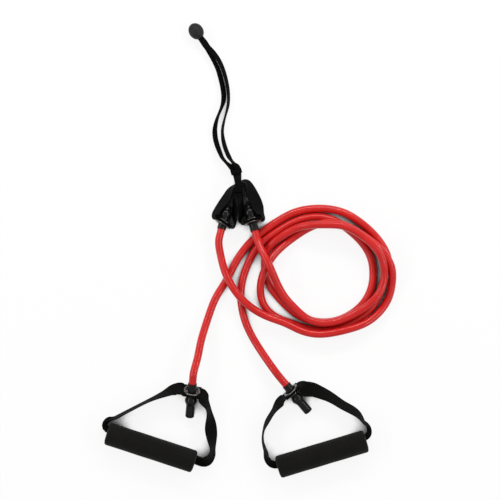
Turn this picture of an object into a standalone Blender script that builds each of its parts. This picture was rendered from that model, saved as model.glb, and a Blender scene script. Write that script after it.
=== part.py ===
"""Resistance tube set, lying flat as it is laid out for use.

Two hollow elastic tubes are loosely coiled together. Each ends in a webbing hand loop with a foam grip,
and both hang in a webbing yoke, which a narrow strap with a ball on its end ties to a door.
Units are metres, +Z is up, and the set lies on z = 0.
"""

import math

import bmesh
import bpy
import numpy as np
from mathutils import Matrix, Vector

MM = 0.001
UP = np.array([0.0, 0.0, 1.0])

# Elastic tube
TUBE_DIAMETER = 0.0112
TUBE_BORE = 0.0060
LAYER_GAP = 0.0005
POINT_SPACING = 0.0245
RUN_STRAIGHT = 0.0112

# Stopper inside each tube end, and the sleeve over it
STOPPER_BALL = 0.0120
STOPPER_SHANK = 0.0050
STOPPER_NOSE_LENGTH = 0.016
HEAD_THICKNESS = 0.0032
HEAD_EDGE = 0.0022
BALL_FROM_EYELET = 0.0136
HANDLE_TAIL = 0.0260
YOKE_TAIL = 0.0125
SWELL_HALF_LENGTH = 0.0090
SWELL_HEIGHT = 0.0026
SLEEVE_WALL = 0.00055
SLEEVE_ABOVE_EYELET = 0.0100
LOOP_SLEEVE_ABOVE_EYELET = 0.0126
LONG_SLEEVE_ABOVE_EYELET = 0.0152
FIT = 0.0003
SOFT_FIT = 0.0004

# Eyelet and its washer
EYELET_BORE = 0.0166
EYELET_WALL = 0.0007
EYELET_FLANGE = 0.0240
EYELET_FLANGE_HEIGHT = 0.0015
EYELET_LIP = 0.0212
WASHER_THICKNESS = 0.0007
WASHER_DIAMETER = 0.0224

# Webbing of the hand loops and of the yoke
WEBBING_WIDTH = 0.0254
WEBBING_THICKNESS = 0.0014
WEBBING_OFF_FLOOR = 0.0004
LAP_HALF_LENGTH = 0.0145
LOOP_SPACING = 0.0105
UNROLL_LENGTH = 0.020
LAP_BLEND = 0.42
YOKE_SPACING = 0.0050
PUNCH_DEPTH = 0.012

# Foam grip on its core tube
GRIP_LENGTH = 0.133
GRIP_DIAMETER = 0.0330
GRIP_END_ROUND = 0.0036
FOAM_WALL = 0.0042
CORE_DIAMETER = GRIP_DIAMETER - 2 * FOAM_WALL
CORE_WALL = 0.0019
CORE_PROUD = 0.0006
CURL_CLEARANCE = 0.0004

# Narrow strap of the door anchor, and its ball
ANCHOR_WIDTH = 0.0090
ANCHOR_THICKNESS = 0.0012
ANCHOR_RUN_SPACING = 0.0015
ANCHOR_STEP = 0.0110
NECK_STRAIGHT = 0.0020
BALL_DIAMETER = 0.0208
BALL_LENGTH = 0.0248
STRAP_IN_BALL = 0.0150
NECK_HEIGHT = 0.0117
NECK_FLAT = 0.0075
WRAP_WIDTH = 0.0070
WRAP_THICKNESS = 0.0011
BIGHT_RADIUS = 0.0012
YOKE_LIFT = 0.0017
INNER_APEX = 0.0894
INNER_TURN = 0.0057
NECK_X = 0.0015
NECK_Y = 0.1188

# Places on the floor, in metres, measured from the middle of the set without its tubes
SHIFT = np.array([0.0003, -0.0006, 0.0])
COIL_CENTRE = (0.1228, -0.0349)

SLEEVE_RADIUS = TUBE_DIAMETER / 2 + SOFT_FIT + SLEEVE_WALL
LAYER = TUBE_DIAMETER + LAYER_GAP
LAP_SPACING = WEBBING_THICKNESS + FIT
ROUND_SEGMENTS = 16
EYELET_SEGMENTS = 20
GRIP_SEGMENTS = 28


def clear_scene():
    for old in list(bpy.data.objects):
        bpy.data.objects.remove(old, do_unlink=True)


def finish(name, colour, roughness, metallic=0.0):
    """A plain material for one sort of surface."""
    material = bpy.data.materials.new(name)
    material.use_nodes = True
    shader = material.node_tree.nodes["Principled BSDF"]
    shader.inputs["Base Color"].default_value = (*colour, 1.0)
    shader.inputs["Roughness"].default_value = roughness
    shader.inputs["Metallic"].default_value = metallic
    return material


def place(name, mesh, material, matrix=None):
    """Puts a mesh in the scene as one named object."""
    obj = bpy.data.objects.new(name, mesh)
    bpy.context.scene.collection.objects.link(obj)
    mesh.materials.append(material)
    if matrix is not None:
        obj.matrix_world = matrix
    return obj


def carried_by(axis, objects):
    """Parents the objects to the empty on their joint's axis, and leaves them where they are."""
    bpy.context.view_layer.update()
    for obj in objects:
        world = obj.matrix_world.copy()
        obj.parent = axis
        obj.matrix_parent_inverse = axis.matrix_world.inverted()
        obj.matrix_world = world


def joint_axis(name, point, direction):
    """An empty whose Z lies along a joint's axis."""
    empty = bpy.data.objects.new(name, None)
    bpy.context.scene.collection.objects.link(empty)
    empty.matrix_world = frame_along(point, direction)
    print(name, "at", [round(float(v), 5) for v in point], "along", [round(float(v), 5) for v in direction])
    return empty


def frame_along(point, direction):
    """A matrix at a point whose Z lies along a direction."""
    turn = Vector(direction).to_track_quat("Z", "Y").to_matrix().to_4x4()
    return Matrix.Translation(Vector(point)) @ turn


def unit(vector):
    return vector / np.linalg.norm(vector)


def heading(azimuth, dip):
    """Unit vector from its compass angle in degrees, anticlockwise from +X, and its dip below level."""
    a, d = math.radians(azimuth), math.radians(dip)
    return np.array([math.cos(a) * math.cos(d), math.sin(a) * math.cos(d), -math.sin(d)])


def cubic_through(points, start_slope=None, end_slope=None):
    """Cubic curve through rows whose first three columns are a place. Returns the knots and a reader."""
    points = np.asarray(points, float)
    knots = np.concatenate([[0], np.cumsum(np.linalg.norm(np.diff(points[:, :3], axis=0), axis=1))])
    n = len(points)
    step = np.diff(knots)
    rise = np.diff(points, axis=0) / step[:, None]
    system = np.zeros((n, n))
    right = np.zeros_like(points)
    for i in range(1, n - 1):
        system[i, i - 1 : i + 2] = step[i - 1], 2 * (step[i - 1] + step[i]), step[i]
        right[i] = 6 * (rise[i] - rise[i - 1])
    system[0, 0] = system[-1, -1] = 1
    if start_slope is not None:
        system[0, :2] = 2 * step[0], step[0]
        right[0] = 6 * (rise[0] - start_slope)
    if end_slope is not None:
        system[-1, -2:] = step[-1], 2 * step[-1]
        right[-1] = 6 * (end_slope - rise[-1])
    bend = np.linalg.solve(system, right)

    def read(where):
        i = np.clip(np.searchsorted(knots, where, side="right") - 1, 0, n - 2)
        h = step[i][:, None]
        a = (knots[i + 1] - where)[:, None] / h
        b = 1 - a
        curve = a * points[i] + b * points[i + 1]
        return curve + ((a**3 - a) * bend[i] + (b**3 - b) * bend[i + 1]) * h**2 / 6

    return knots, read


def smooth_rows(points, spacing, start_slope, end_slope, at_start=None, at_end=None):
    """Rows along the smooth curve through the given rows, both ends kept, closer together near an end."""
    knots, read = cubic_through(points, start_slope, end_slope)
    fine = np.linspace(0, knots[-1], 60 * len(points))
    places = read(fine)[:, :3]
    along = np.concatenate([[0], np.cumsum(np.linalg.norm(np.diff(places, axis=0), axis=1))])
    local = np.full(len(fine), spacing)
    if at_start:
        local = np.minimum(local, at_start + 0.35 * along)
    if at_end:
        local = np.minimum(local, at_end + 0.35 * (along[-1] - along))
    steps = np.diff(along) / (0.5 * (local[1:] + local[:-1]))
    passed = np.concatenate([[0], np.cumsum(steps)])
    count = max(2, int(round(passed[-1])) + 1)
    return read(np.interp(np.linspace(0, passed[-1], count), passed, fine))


def ways(places):
    """Unit direction of a line at each of its points. A short step counts for more than a long one."""
    steps = np.diff(places, axis=0)
    lengths = np.linalg.norm(steps, axis=1)[:, None]
    slopes = steps / lengths
    inner = (slopes[:-1] * lengths[1:] + slopes[1:] * lengths[:-1]) / (lengths[1:] + lengths[:-1])
    every = np.concatenate([slopes[:1], inner, slopes[-1:]])
    return every / np.linalg.norm(every, axis=1)[:, None]


def turned(name, profile, material, matrix, segments):
    """A turned piece: its profile of (radius, height) goes once round Z."""
    bm = bmesh.new()
    verts = [bm.verts.new((radius, 0, height)) for radius, height in profile]
    edges = [bm.edges.new(pair) for pair in zip(verts, verts[1:] + verts[:1])
             if min(pair[0].co.x, pair[1].co.x) > 0 or pair[0].co.x != pair[1].co.x]
    bmesh.ops.spin(bm, geom=verts + edges, axis=(0, 0, 1), cent=(0, 0, 0), steps=segments,
                   angle=2 * math.pi, use_merge=True)
    bmesh.ops.remove_doubles(bm, verts=bm.verts, dist=1e-7)
    face_outwards(bm)
    mesh = bpy.data.meshes.new(name)
    bm.to_mesh(mesh)
    bm.free()
    mesh.shade_smooth()
    mesh.set_sharp_from_angle(angle=math.radians(35))
    return place(name, mesh, material, matrix)


def face_outwards(bm):
    """Makes the faces of a closed mesh agree and point outwards."""
    bmesh.ops.recalc_face_normals(bm, faces=bm.faces)
    if bm.calc_volume(signed=True) < 0:
        bmesh.ops.reverse_faces(bm, faces=bm.faces)


def cut(obj, cutter):
    """Takes one closed mesh away from another."""
    cutter.hide_render = True
    cutter.display_type = "WIRE"
    modifier = obj.modifiers.new("cut", "BOOLEAN")
    modifier.operation = "DIFFERENCE"
    modifier.solver = "EXACT"
    modifier.object = cutter


def punch(name, obj, centre, normal, radius, depth):
    """Punches a round hole through webbing."""
    bm = bmesh.new()
    bmesh.ops.create_cone(bm, cap_ends=True, segments=EYELET_SEGMENTS, radius1=radius, radius2=radius,
                          depth=depth)
    mesh = bpy.data.meshes.new(name)
    bm.to_mesh(mesh)
    bm.free()
    cutter = bpy.data.objects.new(name, mesh)
    bpy.context.scene.collection.objects.link(cutter)
    cutter.matrix_world = frame_along(centre, normal)
    cut(obj, cutter)


def webbing(name, centres, acrosses, width, thickness, material, curls=None, across=1, closed=False):
    """A strip of webbing: its middle line, the direction across it at each place, and its curl, 0 to 1.

    A full curl bends the strip across its width to the arc that it has inside a grip.
    """
    count = len(centres)
    curls = np.zeros(count) if curls is None else curls
    arc = curl_radius()
    if closed:
        ahead = np.roll(centres, -1, axis=0) - np.roll(centres, 1, axis=0)
    else:
        ahead = ways(centres)
    bm = bmesh.new()
    rows = []
    for centre, wide, forward, curl in zip(centres, acrosses, ahead, curls):
        forward = unit(forward)
        wide = unit(wide - (wide @ forward) * forward)
        out = np.cross(forward, wide)
        row = []
        for k in range(across + 1):
            u = width * (k / across - 0.5)
            if curl > 1e-3:
                turn = curl * u / arc
                side = math.sin(turn) * arc / curl
                sag = (1 - math.cos(turn)) * arc / curl
            else:
                side, sag = u, 0.0
            row.append(bm.verts.new(centre + wide * side + out * sag))
        rows.append(row)
    pairs = zip(rows, rows[1:] + rows[:1]) if closed else zip(rows, rows[1:])
    for first, second in pairs:
        for k in range(across):
            bm.faces.new((first[k], first[k + 1], second[k + 1], second[k]))
    mesh = bpy.data.meshes.new(name)
    bm.to_mesh(mesh)
    bm.free()
    obj = place(name, mesh, material)
    thicken = obj.modifiers.new("thickness", "SOLIDIFY")
    thicken.thickness = thickness
    thicken.offset = 0
    thicken.use_even_offset = True
    thicken.use_quality_normals = True
    return obj


def curl_radius():
    """Radius of the webbing's middle where it lies rolled in a grip's bore."""
    bore = CORE_DIAMETER / 2 - CORE_WALL
    return bore - CURL_CLEARANCE - WEBBING_THICKNESS / 2


def leaning(places, leans, inward=1):
    """Direction across webbing that leans from upright, in degrees, towards the left of its way."""
    level = np.cross(UP, ways(places))
    level /= np.linalg.norm(level, axis=1)[:, None]
    lean = np.radians(leans)[:, None]
    return np.cos(lean) * UP + inward * np.sin(lean) * level


def swell(offset):
    """How far the tube stands out over the stopper's ball, this far along from the ball's middle."""
    if abs(offset) >= SWELL_HALF_LENGTH:
        return 0.0
    return math.cos(math.pi * offset / (2 * SWELL_HALF_LENGTH)) ** 2


SWELL_STATIONS = [share * SWELL_HALF_LENGTH for share in (-1, -0.56, -0.22, 0, 0.22, 0.56, 1)]


def ball_place():
    return BALL_FROM_EYELET


def head_place(tail):
    """Height of the underside of the stopper's head above the eyelet, along the tube's end."""
    return BALL_FROM_EYELET + tail - HEAD_THICKNESS


def end_stations(tail):
    """(height along the end, swell) for the stretch of tube that lies in its sleeve."""
    stations = [(ball_place() + a, swell(a)) for a in SWELL_STATIONS]
    last = head_place(tail) - FIT
    return [row for row in stations if row[0] < last - FIT] + [(last, swell(last - ball_place()))]


def tube_end(frame, tail, sleeve_run=SLEEVE_ABOVE_EYELET):
    """Centre points, outer radii and bore radii of a tube's end, from its free run to its cut face."""
    bore_swell = (STOPPER_BALL / 2 + SOFT_FIT) / math.cos(math.pi / 8) - TUBE_BORE / 2
    rows = [(-sleeve_run - RUN_STRAIGHT, 0.0), (-sleeve_run, 0.0)] + end_stations(tail)
    centres = [np.array(frame @ Vector((0, 0, height))) for height, _ in rows]
    outer = [TUBE_DIAMETER / 2 + SWELL_HEIGHT * s for _, s in rows]
    bore = [TUBE_BORE / 2 + bore_swell * s for _, s in rows]
    return centres, outer, bore


def tube_mesh(name, centres, radii, resolution):
    """Mesh of a round tube along its points, its radius given at each."""
    curve = bpy.data.curves.new(name, "CURVE")
    curve.dimensions = "3D"
    curve.bevel_depth = 1.0
    curve.bevel_resolution = resolution
    curve.use_fill_caps = True
    spline = curve.splines.new("POLY")
    spline.points.add(len(centres) - 1)
    for point, centre, radius in zip(spline.points, centres, radii):
        point.co = (*centre, 1.0)
        point.radius = radius
    holder = bpy.data.objects.new(name, curve)
    bpy.context.scene.collection.objects.link(holder)
    graph = bpy.context.evaluated_depsgraph_get()
    mesh = bpy.data.meshes.new_from_object(holder.evaluated_get(graph))
    bpy.data.objects.remove(holder, do_unlink=True)
    bm = bmesh.new()
    bm.from_mesh(mesh)
    bmesh.ops.remove_doubles(bm, verts=bm.verts, dist=1e-7)
    face_outwards(bm)
    bm.to_mesh(mesh)
    bm.free()
    mesh.shade_smooth()
    return mesh


def hollow_tube(name, start_end, route, finish_end, material):
    """An elastic tube from one stopper to the other, hollow all the way. Returns its middle line."""
    start, start_outer, start_bore = start_end
    last, last_outer, last_bore = finish_end
    way_out, way_in = unit(start[0] - start[1]), unit(last[1] - last[0])
    free = smooth_rows(np.array([start[0], *route, last[0]]), POINT_SPACING, way_out, way_in)
    free[:, 2] = np.maximum(free[:, 2], TUBE_DIAMETER / 2)
    centres = start[::-1] + list(free[1:-1]) + last
    middle = [TUBE_DIAMETER / 2] * (len(free) - 2)
    hollow = [TUBE_BORE / 2] * (len(free) - 2)
    obj = place(name, tube_mesh(name, centres, start_outer[::-1] + middle + last_outer, 2), material)
    past = 0.002
    reach = list(centres)
    reach[0] = centres[0] + past * unit(centres[0] - centres[1])
    reach[-1] = centres[-1] + past * unit(centres[-1] - centres[-2])
    bore_radii = start_bore[::-1] + hollow + last_bore
    cutter = place(name + "_bore", tube_mesh(name + "_bore", reach, bore_radii, 2), material)
    cut(obj, cutter)
    return np.array(centres)


def least_gap(name, line, other=None):
    """Prints the least clear gap of a tube to itself, or to another tube, measured on points."""

    def fine(points):
        along = np.concatenate([[0], np.cumsum(np.linalg.norm(np.diff(points, axis=0), axis=1))])
        where = np.arange(0, along[-1], 0.002)
        return where, np.stack([np.interp(where, along, points[:, i]) for i in range(3)], axis=1)

    where, places = fine(line)
    if other is None:
        far = 3 * TUBE_DIAMETER
        apart = np.linalg.norm(places[:, None] - places[None], axis=2)
        apart[np.abs(where[:, None] - where[None]) < far] = 1.0
        against = places
    else:
        _, against = fine(other)
        apart = np.linalg.norm(places[:, None] - against[None], axis=2)
    i, j = np.unravel_index(apart.argmin(), apart.shape)
    gap = apart[i, j] - TUBE_DIAMETER
    length = float(np.linalg.norm(np.diff(line, axis=0), axis=1).sum())
    print(f"{name}: length {length:.3f} m, least gap {gap * 1000:.2f} mm at {np.round(places[i] * 1000, 1)}")
    close = np.argwhere(apart < TUBE_DIAMETER + 0.0004)
    seen = []
    for a, b in close:
        if all(np.linalg.norm(places[a] - place_seen) > 0.012 for place_seen in seen):
            seen.append(places[a])
            print("  close at", np.round(places[a] * 1000, 1), np.round(against[b] * 1000, 1),
                  round((apart[a, b] - TUBE_DIAMETER) * 1000, 2))


def on_floor(rows):
    """Places of a free tube run: (x, y) in millimetres and its layer, 0 on the floor and 1 on another tube."""
    return [np.array([x * MM, y * MM, TUBE_DIAMETER / 2 + layer * LAYER]) for x, y, layer in rows]


def round_coil(rows):
    """Places of the turns about the coil's middle: (angle in degrees, radius in millimetres, layer)."""
    places = []
    for angle, radius, layer in rows:
        a = math.radians(angle)
        x = COIL_CENTRE[0] + radius * MM * math.cos(a)
        y = COIL_CENTRE[1] + radius * MM * math.sin(a)
        places.append(np.array([x, y, TUBE_DIAMETER / 2 + layer * LAYER]))
    return places


# The left tube: down from the yoke, over both tubes that leave the coil, nearly two turns, and away to
# the left grip.
LEFT_LEAD_IN = [
    (-25.6, 12, 0.72), (-24.4, -9, 0.66), (-19.4, -27, 0.91), (-13, -42, 1.07), (-5, -57, 1.04),
    (6, -70.5, 1.02), (22, -84.5, 1.01), (45, -97, 1),
]
LEFT_TURNS = [
    (-127, 89, 1), (-105, 87.5, 1), (-88, 86.7, 1), (-72, 87, 1.01), (-57, 91.2, 0.86),
    (-42, 97.5, 0.41), (-29, 101.1, 0.11), (-16, 103.1, 0.11), (-4, 102.1, 0.53), (6, 100.7, 0.99),
    (14, 97.6, 1.06), (24, 90.6, 0.92), (35, 85.1, 0.76), (47, 81.1, 0.83), (58, 78.1, 1.03),
    (68, 77.3, 1.05), (77.9, 75.8, 1.01), (88, 74, 0.82), (98, 71.3, 0.55), (108, 68.9, 0.27),
    (118, 67.2, 0.07), (128, 66.9, 0), (137.9, 68.1, 0.07), (147.9, 70.9, 0.34), (158, 74.5, 0.74),
    (167.1, 79, 1.03), (175.1, 83, 1.1), (183, 86.9, 0.97), (191, 91, 0.68), (200, 94, 0.36),
    (210, 95.5, 0.1), (222, 92, 0), (236, 85, 0), (252, 82.6, 0), (270, 82.7, 0), (287, 83.1, 0),
    (303, 84, 0), (318, 85.5, 0), (331, 87.6, 0), (343, 88.4, 0), (353, 89.4, 0), (362, 94, 0),
    (372, 98.5, 0), (386, 96.8, 0), (399, 94.5, 0), (412, 93.4, 0), (425, 94.2, 0), (439, 94.8, 0),
    (452, 95.1, 0), (464, 96.5, 0), (476, 98.1, 0), (488, 99.6, 0), (498, 102.6, 0),
    (505, 106.1, 0),
]
LEFT_LEAD_OUT = [
    (21.9, 14.1, 0), (12, 4.1, 0), (1, -13, 0), (-9, -30, 0), (-17, -46, 0), (-26, -60, 0),
    (-37, -83, 0), (-45.5, -108, 0.25), (-53, -134, 0.95), (-58.4, -160, 1.5),
]

# The right tube: over everything that it meets, nearly two turns, and away to the right grip.
RIGHT_LEAD_IN = [
    (32, 8, 1.3), (37, -4, 1.77), (44, -18, 2.19), (50, -31, 1.95), (57, -47, 1.45),
    (68, -67, 1.08), (85, -86, 1.01),
]
RIGHT_TURNS = [
    (-108, 68.2, 1.01), (-92, 70.5, 1.01), (-76, 71.3, 1.01), (-59, 72.4, 1.01), (-42, 76.9, 1.01),
    (-25, 84.4, 1.02), (-8.1, 89.8, 1.05), (3.9, 89.9, 1.35), (12.9, 89, 1.81), (23, 87.1, 1.94),
    (35, 82.3, 1.84), (47, 78.9, 1.88), (58, 77.5, 2.04), (68, 75.4, 2.06), (78.1, 72.9, 2),
    (88.1, 71.4, 1.85), (98.1, 72, 1.6), (108.1, 73.6, 1.28), (118.1, 75.6, 0.87),
    (128.1, 78.4, 0.67), (139.1, 80.7, 0.66), (150.1, 84.9, 0.44), (160, 86.2, 0.1),
    (167.9, 85, 0), (176, 82.6, 0), (186, 80.1, 0), (196, 76.5, 0), (208, 72, 0), (222, 69.3, 0),
    (238, 68.8, 0), (254, 69.1, 0), (270, 69.8, 0), (286, 70.6, 0), (303.1, 71.5, 0),
    (319.1, 72.9, 0), (335, 74.2, 0), (350, 74.2, 0), (364, 74.3, 0), (378, 74.6, 0),
    (392, 74.2, 0), (406, 73.4, 0), (417, 74.5, 0), (427, 76.9, 0), (438, 79.8, 0),
    (449.9, 82.5, 0), (461.9, 84, 0), (474, 85.4, 0), (486, 87, 0), (497, 89.9, 0),
    (507, 94.4, 0),
]
RIGHT_LEAD_OUT = [
    (28.1, 2.9, 0), (21, -9, 0), (15, -22, 0), (9, -38, 0), (5.5, -56, 0), (5.5, -75, 0),
    (10, -99, 0), (19, -121, 0.05), (32, -143, 0.3), (47, -165, 0.72),
]

# Hand loops, as (share of the way from the grip's end to the eyelet, millimetres off that straight
# line to its left, lean in degrees)
LEFT_LOOP_AWAY = [
    (0.877, 12.6, 39), (0.78, 14.6, 27), (0.692, 15.0, 16), (0.556, 15.6, 8), (0.357, 15.3, 7),
    (0.18, 14.6, 8), (0.08, 13.4, 9), (0.038, 10.8, 10),
]
LEFT_LOOP_BACK = [
    (0.015, -15.5, 38), (0.045, -21.5, 30), (0.10, -25.6, 18), (0.17, -26.2, 17), (0.29, -25.8, 30),
    (0.446, -25.1, 42), (0.60, -24.4, 27), (0.735, -23.0, 14), (0.82, -20.0, 24), (0.893, -16.4, 36),
]
RIGHT_LOOP_AWAY = [
    (0.862, 12.0, 27), (0.79, 16.2, 25), (0.685, 21.5, 12), (0.585, 25.8, 13), (0.451, 29.4, 4),
    (0.306, 28.0, 5), (0.164, 20.4, 13), (0.068, 10.4, 22),
]
RIGHT_LOOP_BACK = [
    (0.05, -12.4, 10), (0.136, -20.4, 9), (0.231, -24.8, 20), (0.433, -24.2, 28), (0.60, -23.7, 34),
    (0.751, -20.7, 46), (0.83, -17.8, 54), (0.90, -14.3, 52),
]

# Each hand loop: the grip's middle, its angle, the tube's place in the eyelet, how the tube comes in,
# and how the webbing faces there
HAND_LOOPS = {
    "left": dict(
        grip=(-0.1250, -0.2862), angle=-18.1, seat=(-0.0658, -0.2050, 0.0180), tube=(264.8, 18.0),
        facing=(79.2, 36.0), mouth_leans=(12.0, 36.0), away=LEFT_LOOP_AWAY, back=LEFT_LOOP_BACK,
    ),
    "right": dict(
        grip=(0.1226, -0.2955), angle=16.7, seat=(0.0786, -0.2047, 0.0134), tube=(-50.0, 8.0),
        facing=(132.8, 16.0), mouth_leans=(25.0, 12.0), away=RIGHT_LOOP_AWAY, back=RIGHT_LOOP_BACK,
    ),
}

# Yoke lobes: the tube's place in each eyelet, how the tube comes in, and how the webbing faces
YOKE_LOBES = {
    "left": dict(seat=(-0.0206, 0.0393, 0.0133), tube=(75.5, 8.0), facing=(237.3, 6.0),
                 sleeve_run=SLEEVE_ABOVE_EYELET),
    "right": dict(seat=(0.0218, 0.0415, 0.0133), tube=(105.0, 12.0), facing=(-74.0, 10.0),
                  sleeve_run=LONG_SLEEVE_ABOVE_EYELET),
}

# Yoke webbing between its two flat ends, as (x, y) in millimetres, lean in degrees and lift off the
# floor in millimetres
YOKE_OUTER = [
    (-32.8, 49.6, 16, 0), (-30.2, 55.5, 22, 0), (-25.7, 62, 25, 0), (-20.3, 69.4, 28, 0),
    (-14.6, 77, 30, 0), (-10.4, 84.8, 21, 0.8), (-6.4, 90.5, 12, 1.5), (-2, 94, 7, 1.7),
    (3, 96.8, 5, 1.7), (7.5, 98.4, 8, 1.7), (11.8, 97.2, 20, 1.2), (16.4, 91.4, 33, 0.4),
    (20.3, 83.6, 40, 0), (24.6, 74.6, 43, 0), (28.6, 65.6, 41, 0), (31.8, 56.6, 31, 0),
    (34.6, 49.4, 18, 0),
]
YOKE_INNER = [
    (-4.4, 33.4, 3, 0), (-2.8, 37.5, -3, 0), (-3.0, 42, -8, 0), (-3.8, 49, -14, 0),
    (-3.9, 58, -15, 0), (-4.0, 68, -8, 0.3), (-4.7, 77.5, -1, 1.2), (-4.45, 83.7, 0, 1.7),
    (-2.5, 87.7, 0, 1.7), (1.5, 89.4, 0, 1.7), (5.5, 87.7, 0, 1.7), (7.45, 83.7, 0, 1.7),
    (7.7, 77.5, -1, 1.2), (6.3, 68, -8, 0.3), (5.7, 58, -15, 0), (4.9, 49, -14, 0),
    (3.3, 42.5, -5, 0), (4.6, 38.6, 2, 0),
]

# How far each length of yoke webbing runs flat to the left and to the right of each eyelet
YOKE_OUTER_FLATS = {"left": (0.0136, 0.0130), "right": (0.0126, 0.0133)}
YOKE_INNER_FLATS = {"left": (0.0120, 0.0144), "right": (0.0135, 0.0118)}

# Runs of the anchor strap from the neck to the ball, as (x, y) and lift off the floor in millimetres
# and lean in degrees
ANCHOR_UPPER_RUN = [
    (0.5, 124.4, 11.6, 88), (-3.2, 129.8, 9.9, 80), (-8.8, 136.2, 6.4, 68), (-14.4, 144.5, 2.7, 54),
    (-19.3, 157, 0.4, 42), (-21.5, 173, 0.1, 32), (-18.5, 195, 0.1, 30), (-13.5, 217, 0.1, 38),
    (-12.8, 232, 0.2, 48), (-15.6, 247, 0.6, 55), (-21.4, 264, 1.8, 60), (-30.2, 281, 4.9, 70),
    (-41.5, 295, 8.6, 82),
]
ANCHOR_LOWER_RUN = [
    (-46.8, 293, 5.8, 80), (-39.2, 279.5, 2.2, 66), (-29.5, 262, 0.4, 56), (-23.5, 244, 0.1, 52),
    (-20.7, 229, 0.1, 50), (-21.3, 216, 0.1, 50), (-25, 201, 0.1, 50), (-30.3, 187, 0.1, 52),
    (-32.4, 170, 0.1, 55), (-29.5, 154, 0.4, 56), (-21.5, 139.8, 1.2, 62), (-11.5, 131.0, 4.4, 74),
    (-4.2, 126.5, 7.9, 84), (0.3, 123.6, 9.9, 89),
]
BALL_PLACE = (-0.0597, 0.3170)
BALL_AZIMUTH = 124.8


def eyelet_centre(seat, way, facing):
    """Middle of the eyelet's bore: it is raised until the tube's sleeve rests in it."""
    side = unit(np.cross(facing, UP))
    rise = unit(UP - (UP @ way) * way)
    other = np.cross(facing, side)
    half = webbing_stack() / 2
    rim = []
    for level in (-half - WASHER_THICKNESS - 2 * FIT, half + 0.5 * EYELET_FLANGE_HEIGHT):
        for k in range(24):
            a = 2 * math.pi * k / 24
            rim.append(facing * level + EYELET_BORE / 2 * (math.cos(a) * side + math.sin(a) * other))
    rim = np.array(rim)
    low, high = 0.0, EYELET_BORE
    for _ in range(30):
        lift = (low + high) / 2
        spots = rim + rise * lift
        off = spots - (spots @ way)[:, None] * way
        if np.linalg.norm(off, axis=1).min() > SLEEVE_RADIUS + FIT:
            low = lift
        else:
            high = lift
    return np.array(seat) + rise * low


def webbing_stack():
    """Thickness of the two layers that an eyelet holds, with the gaps on both sides."""
    return WEBBING_THICKNESS + LAP_SPACING + 2 * FIT


def eyelet(name, centre, facing, materials):
    """A grommet on the tube's side of the webbing, and the washer that it is rolled over."""
    half = webbing_stack() / 2
    bore = EYELET_BORE / 2
    barrel = bore + EYELET_WALL
    top = half + EYELET_FLANGE_HEIGHT
    flange = EYELET_FLANGE / 2
    low = -half - WASHER_THICKNESS - FIT
    lip = EYELET_LIP / 2
    roll = EYELET_WALL
    ring = [
        (bore, low - 0.2 * roll), (bore, half), (bore + 0.35 * roll, top - 0.6 * roll),
        (bore + 1.4 * roll, top), (bore + 3.0 * roll, top), (flange - roll, top - 0.8 * roll),
        (flange, half + 0.5 * roll), (flange - 0.3 * roll, half), (barrel, half), (barrel, low),
        (lip, low), (lip - 0.3 * roll, low - 1.0 * roll), (bore + 1.2 * roll, low - 1.3 * roll),
    ]
    frame = frame_along(centre, facing)
    grommet = turned(name + "_eyelet", ring, materials["eyelet"], frame, EYELET_SEGMENTS)
    inner = barrel + FIT
    rim = WASHER_DIAMETER / 2
    plate = [(inner, -half - WASHER_THICKNESS), (rim, -half - WASHER_THICKNESS),
             (rim, -half), (inner, -half)]
    washer = turned(name + "_washer", plate, materials["eyelet"], frame, EYELET_SEGMENTS)
    return [grommet, washer]


def end_fittings(name, frame, tail, materials, sleeve_run=SLEEVE_ABOVE_EYELET):
    """The stopper inside a tube's end, and the sleeve over it."""
    ball = STOPPER_BALL / 2
    shank = STOPPER_SHANK / 2
    middle = ball_place()
    head = head_place(tail)
    neck = math.asin(shank / ball)
    arc = [neck + (math.pi - 2 * neck) * k / 7 for k in range(8)]
    nose = middle - STOPPER_NOSE_LENGTH
    profile = [(0, nose), (0.6 * shank, nose)]
    profile += [(shank, nose + shank)]
    profile += [(ball * math.sin(a), middle - ball * math.cos(a)) for a in arc]
    profile += [(shank, head), (SLEEVE_RADIUS, head), (SLEEVE_RADIUS, head + HEAD_THICKNESS - HEAD_EDGE)]
    profile += [(SLEEVE_RADIUS - HEAD_EDGE * (1 - math.cos(a)),
                 head + HEAD_THICKNESS - HEAD_EDGE * (1 - math.sin(a)))
                for a in (math.pi / 6, math.pi / 3, math.pi / 2)]
    profile += [(0, head + HEAD_THICKNESS)]
    stopper = turned(name + "_stopper", profile, materials["stopper"], frame, ROUND_SEGMENTS)
    rows = [(-sleeve_run, 0.0)] + end_stations(tail)
    inside = [(TUBE_DIAMETER / 2 + SWELL_HEIGHT * s + SOFT_FIT, height) for height, s in rows]
    outside = [(radius + SLEEVE_WALL, height) for radius, height in reversed(inside)]
    sleeve = turned(name + "_sleeve", inside + outside, materials["sleeve"], frame, ROUND_SEGMENTS)
    return [stopper, sleeve]


def edge_height(lean, lift=0.0, width=WEBBING_WIDTH, thickness=WEBBING_THICKNESS):
    """Height of the middle of webbing that stands on its edge and leans, lifted by some millimetres."""
    a = math.radians(lean)
    return width / 2 * math.cos(a) + thickness / 2 * math.sin(a) + WEBBING_OFF_FLOOR + lift * MM


def flat_lap(centre, facing, offset, before, after):
    """Places of a straight stretch through an eyelet, on one side of the lap, and the way along it."""
    way = unit(np.cross(UP, facing))
    middle = centre + facing * offset
    return [middle + way * spot for spot in (-before, -before + MM, 0.0, after - MM, after)], way


def loop_run(start, finish, rows):
    """Places and leans of one side of a hand loop between the grip's mouth and the eyelet."""
    line = finish[:2] - start[:2]
    left = np.array([-line[1], line[0]]) / np.linalg.norm(line)
    places = []
    for share, off, lean in rows:
        spot = start[:2] + line * share + left * off * MM
        near = max(0.0, 1 - (1 - share) / LAP_BLEND) ** 1.3
        rest = edge_height(lean)
        places.append([*spot, rest + (finish[2] - rest) * near, lean])
    return places


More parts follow.
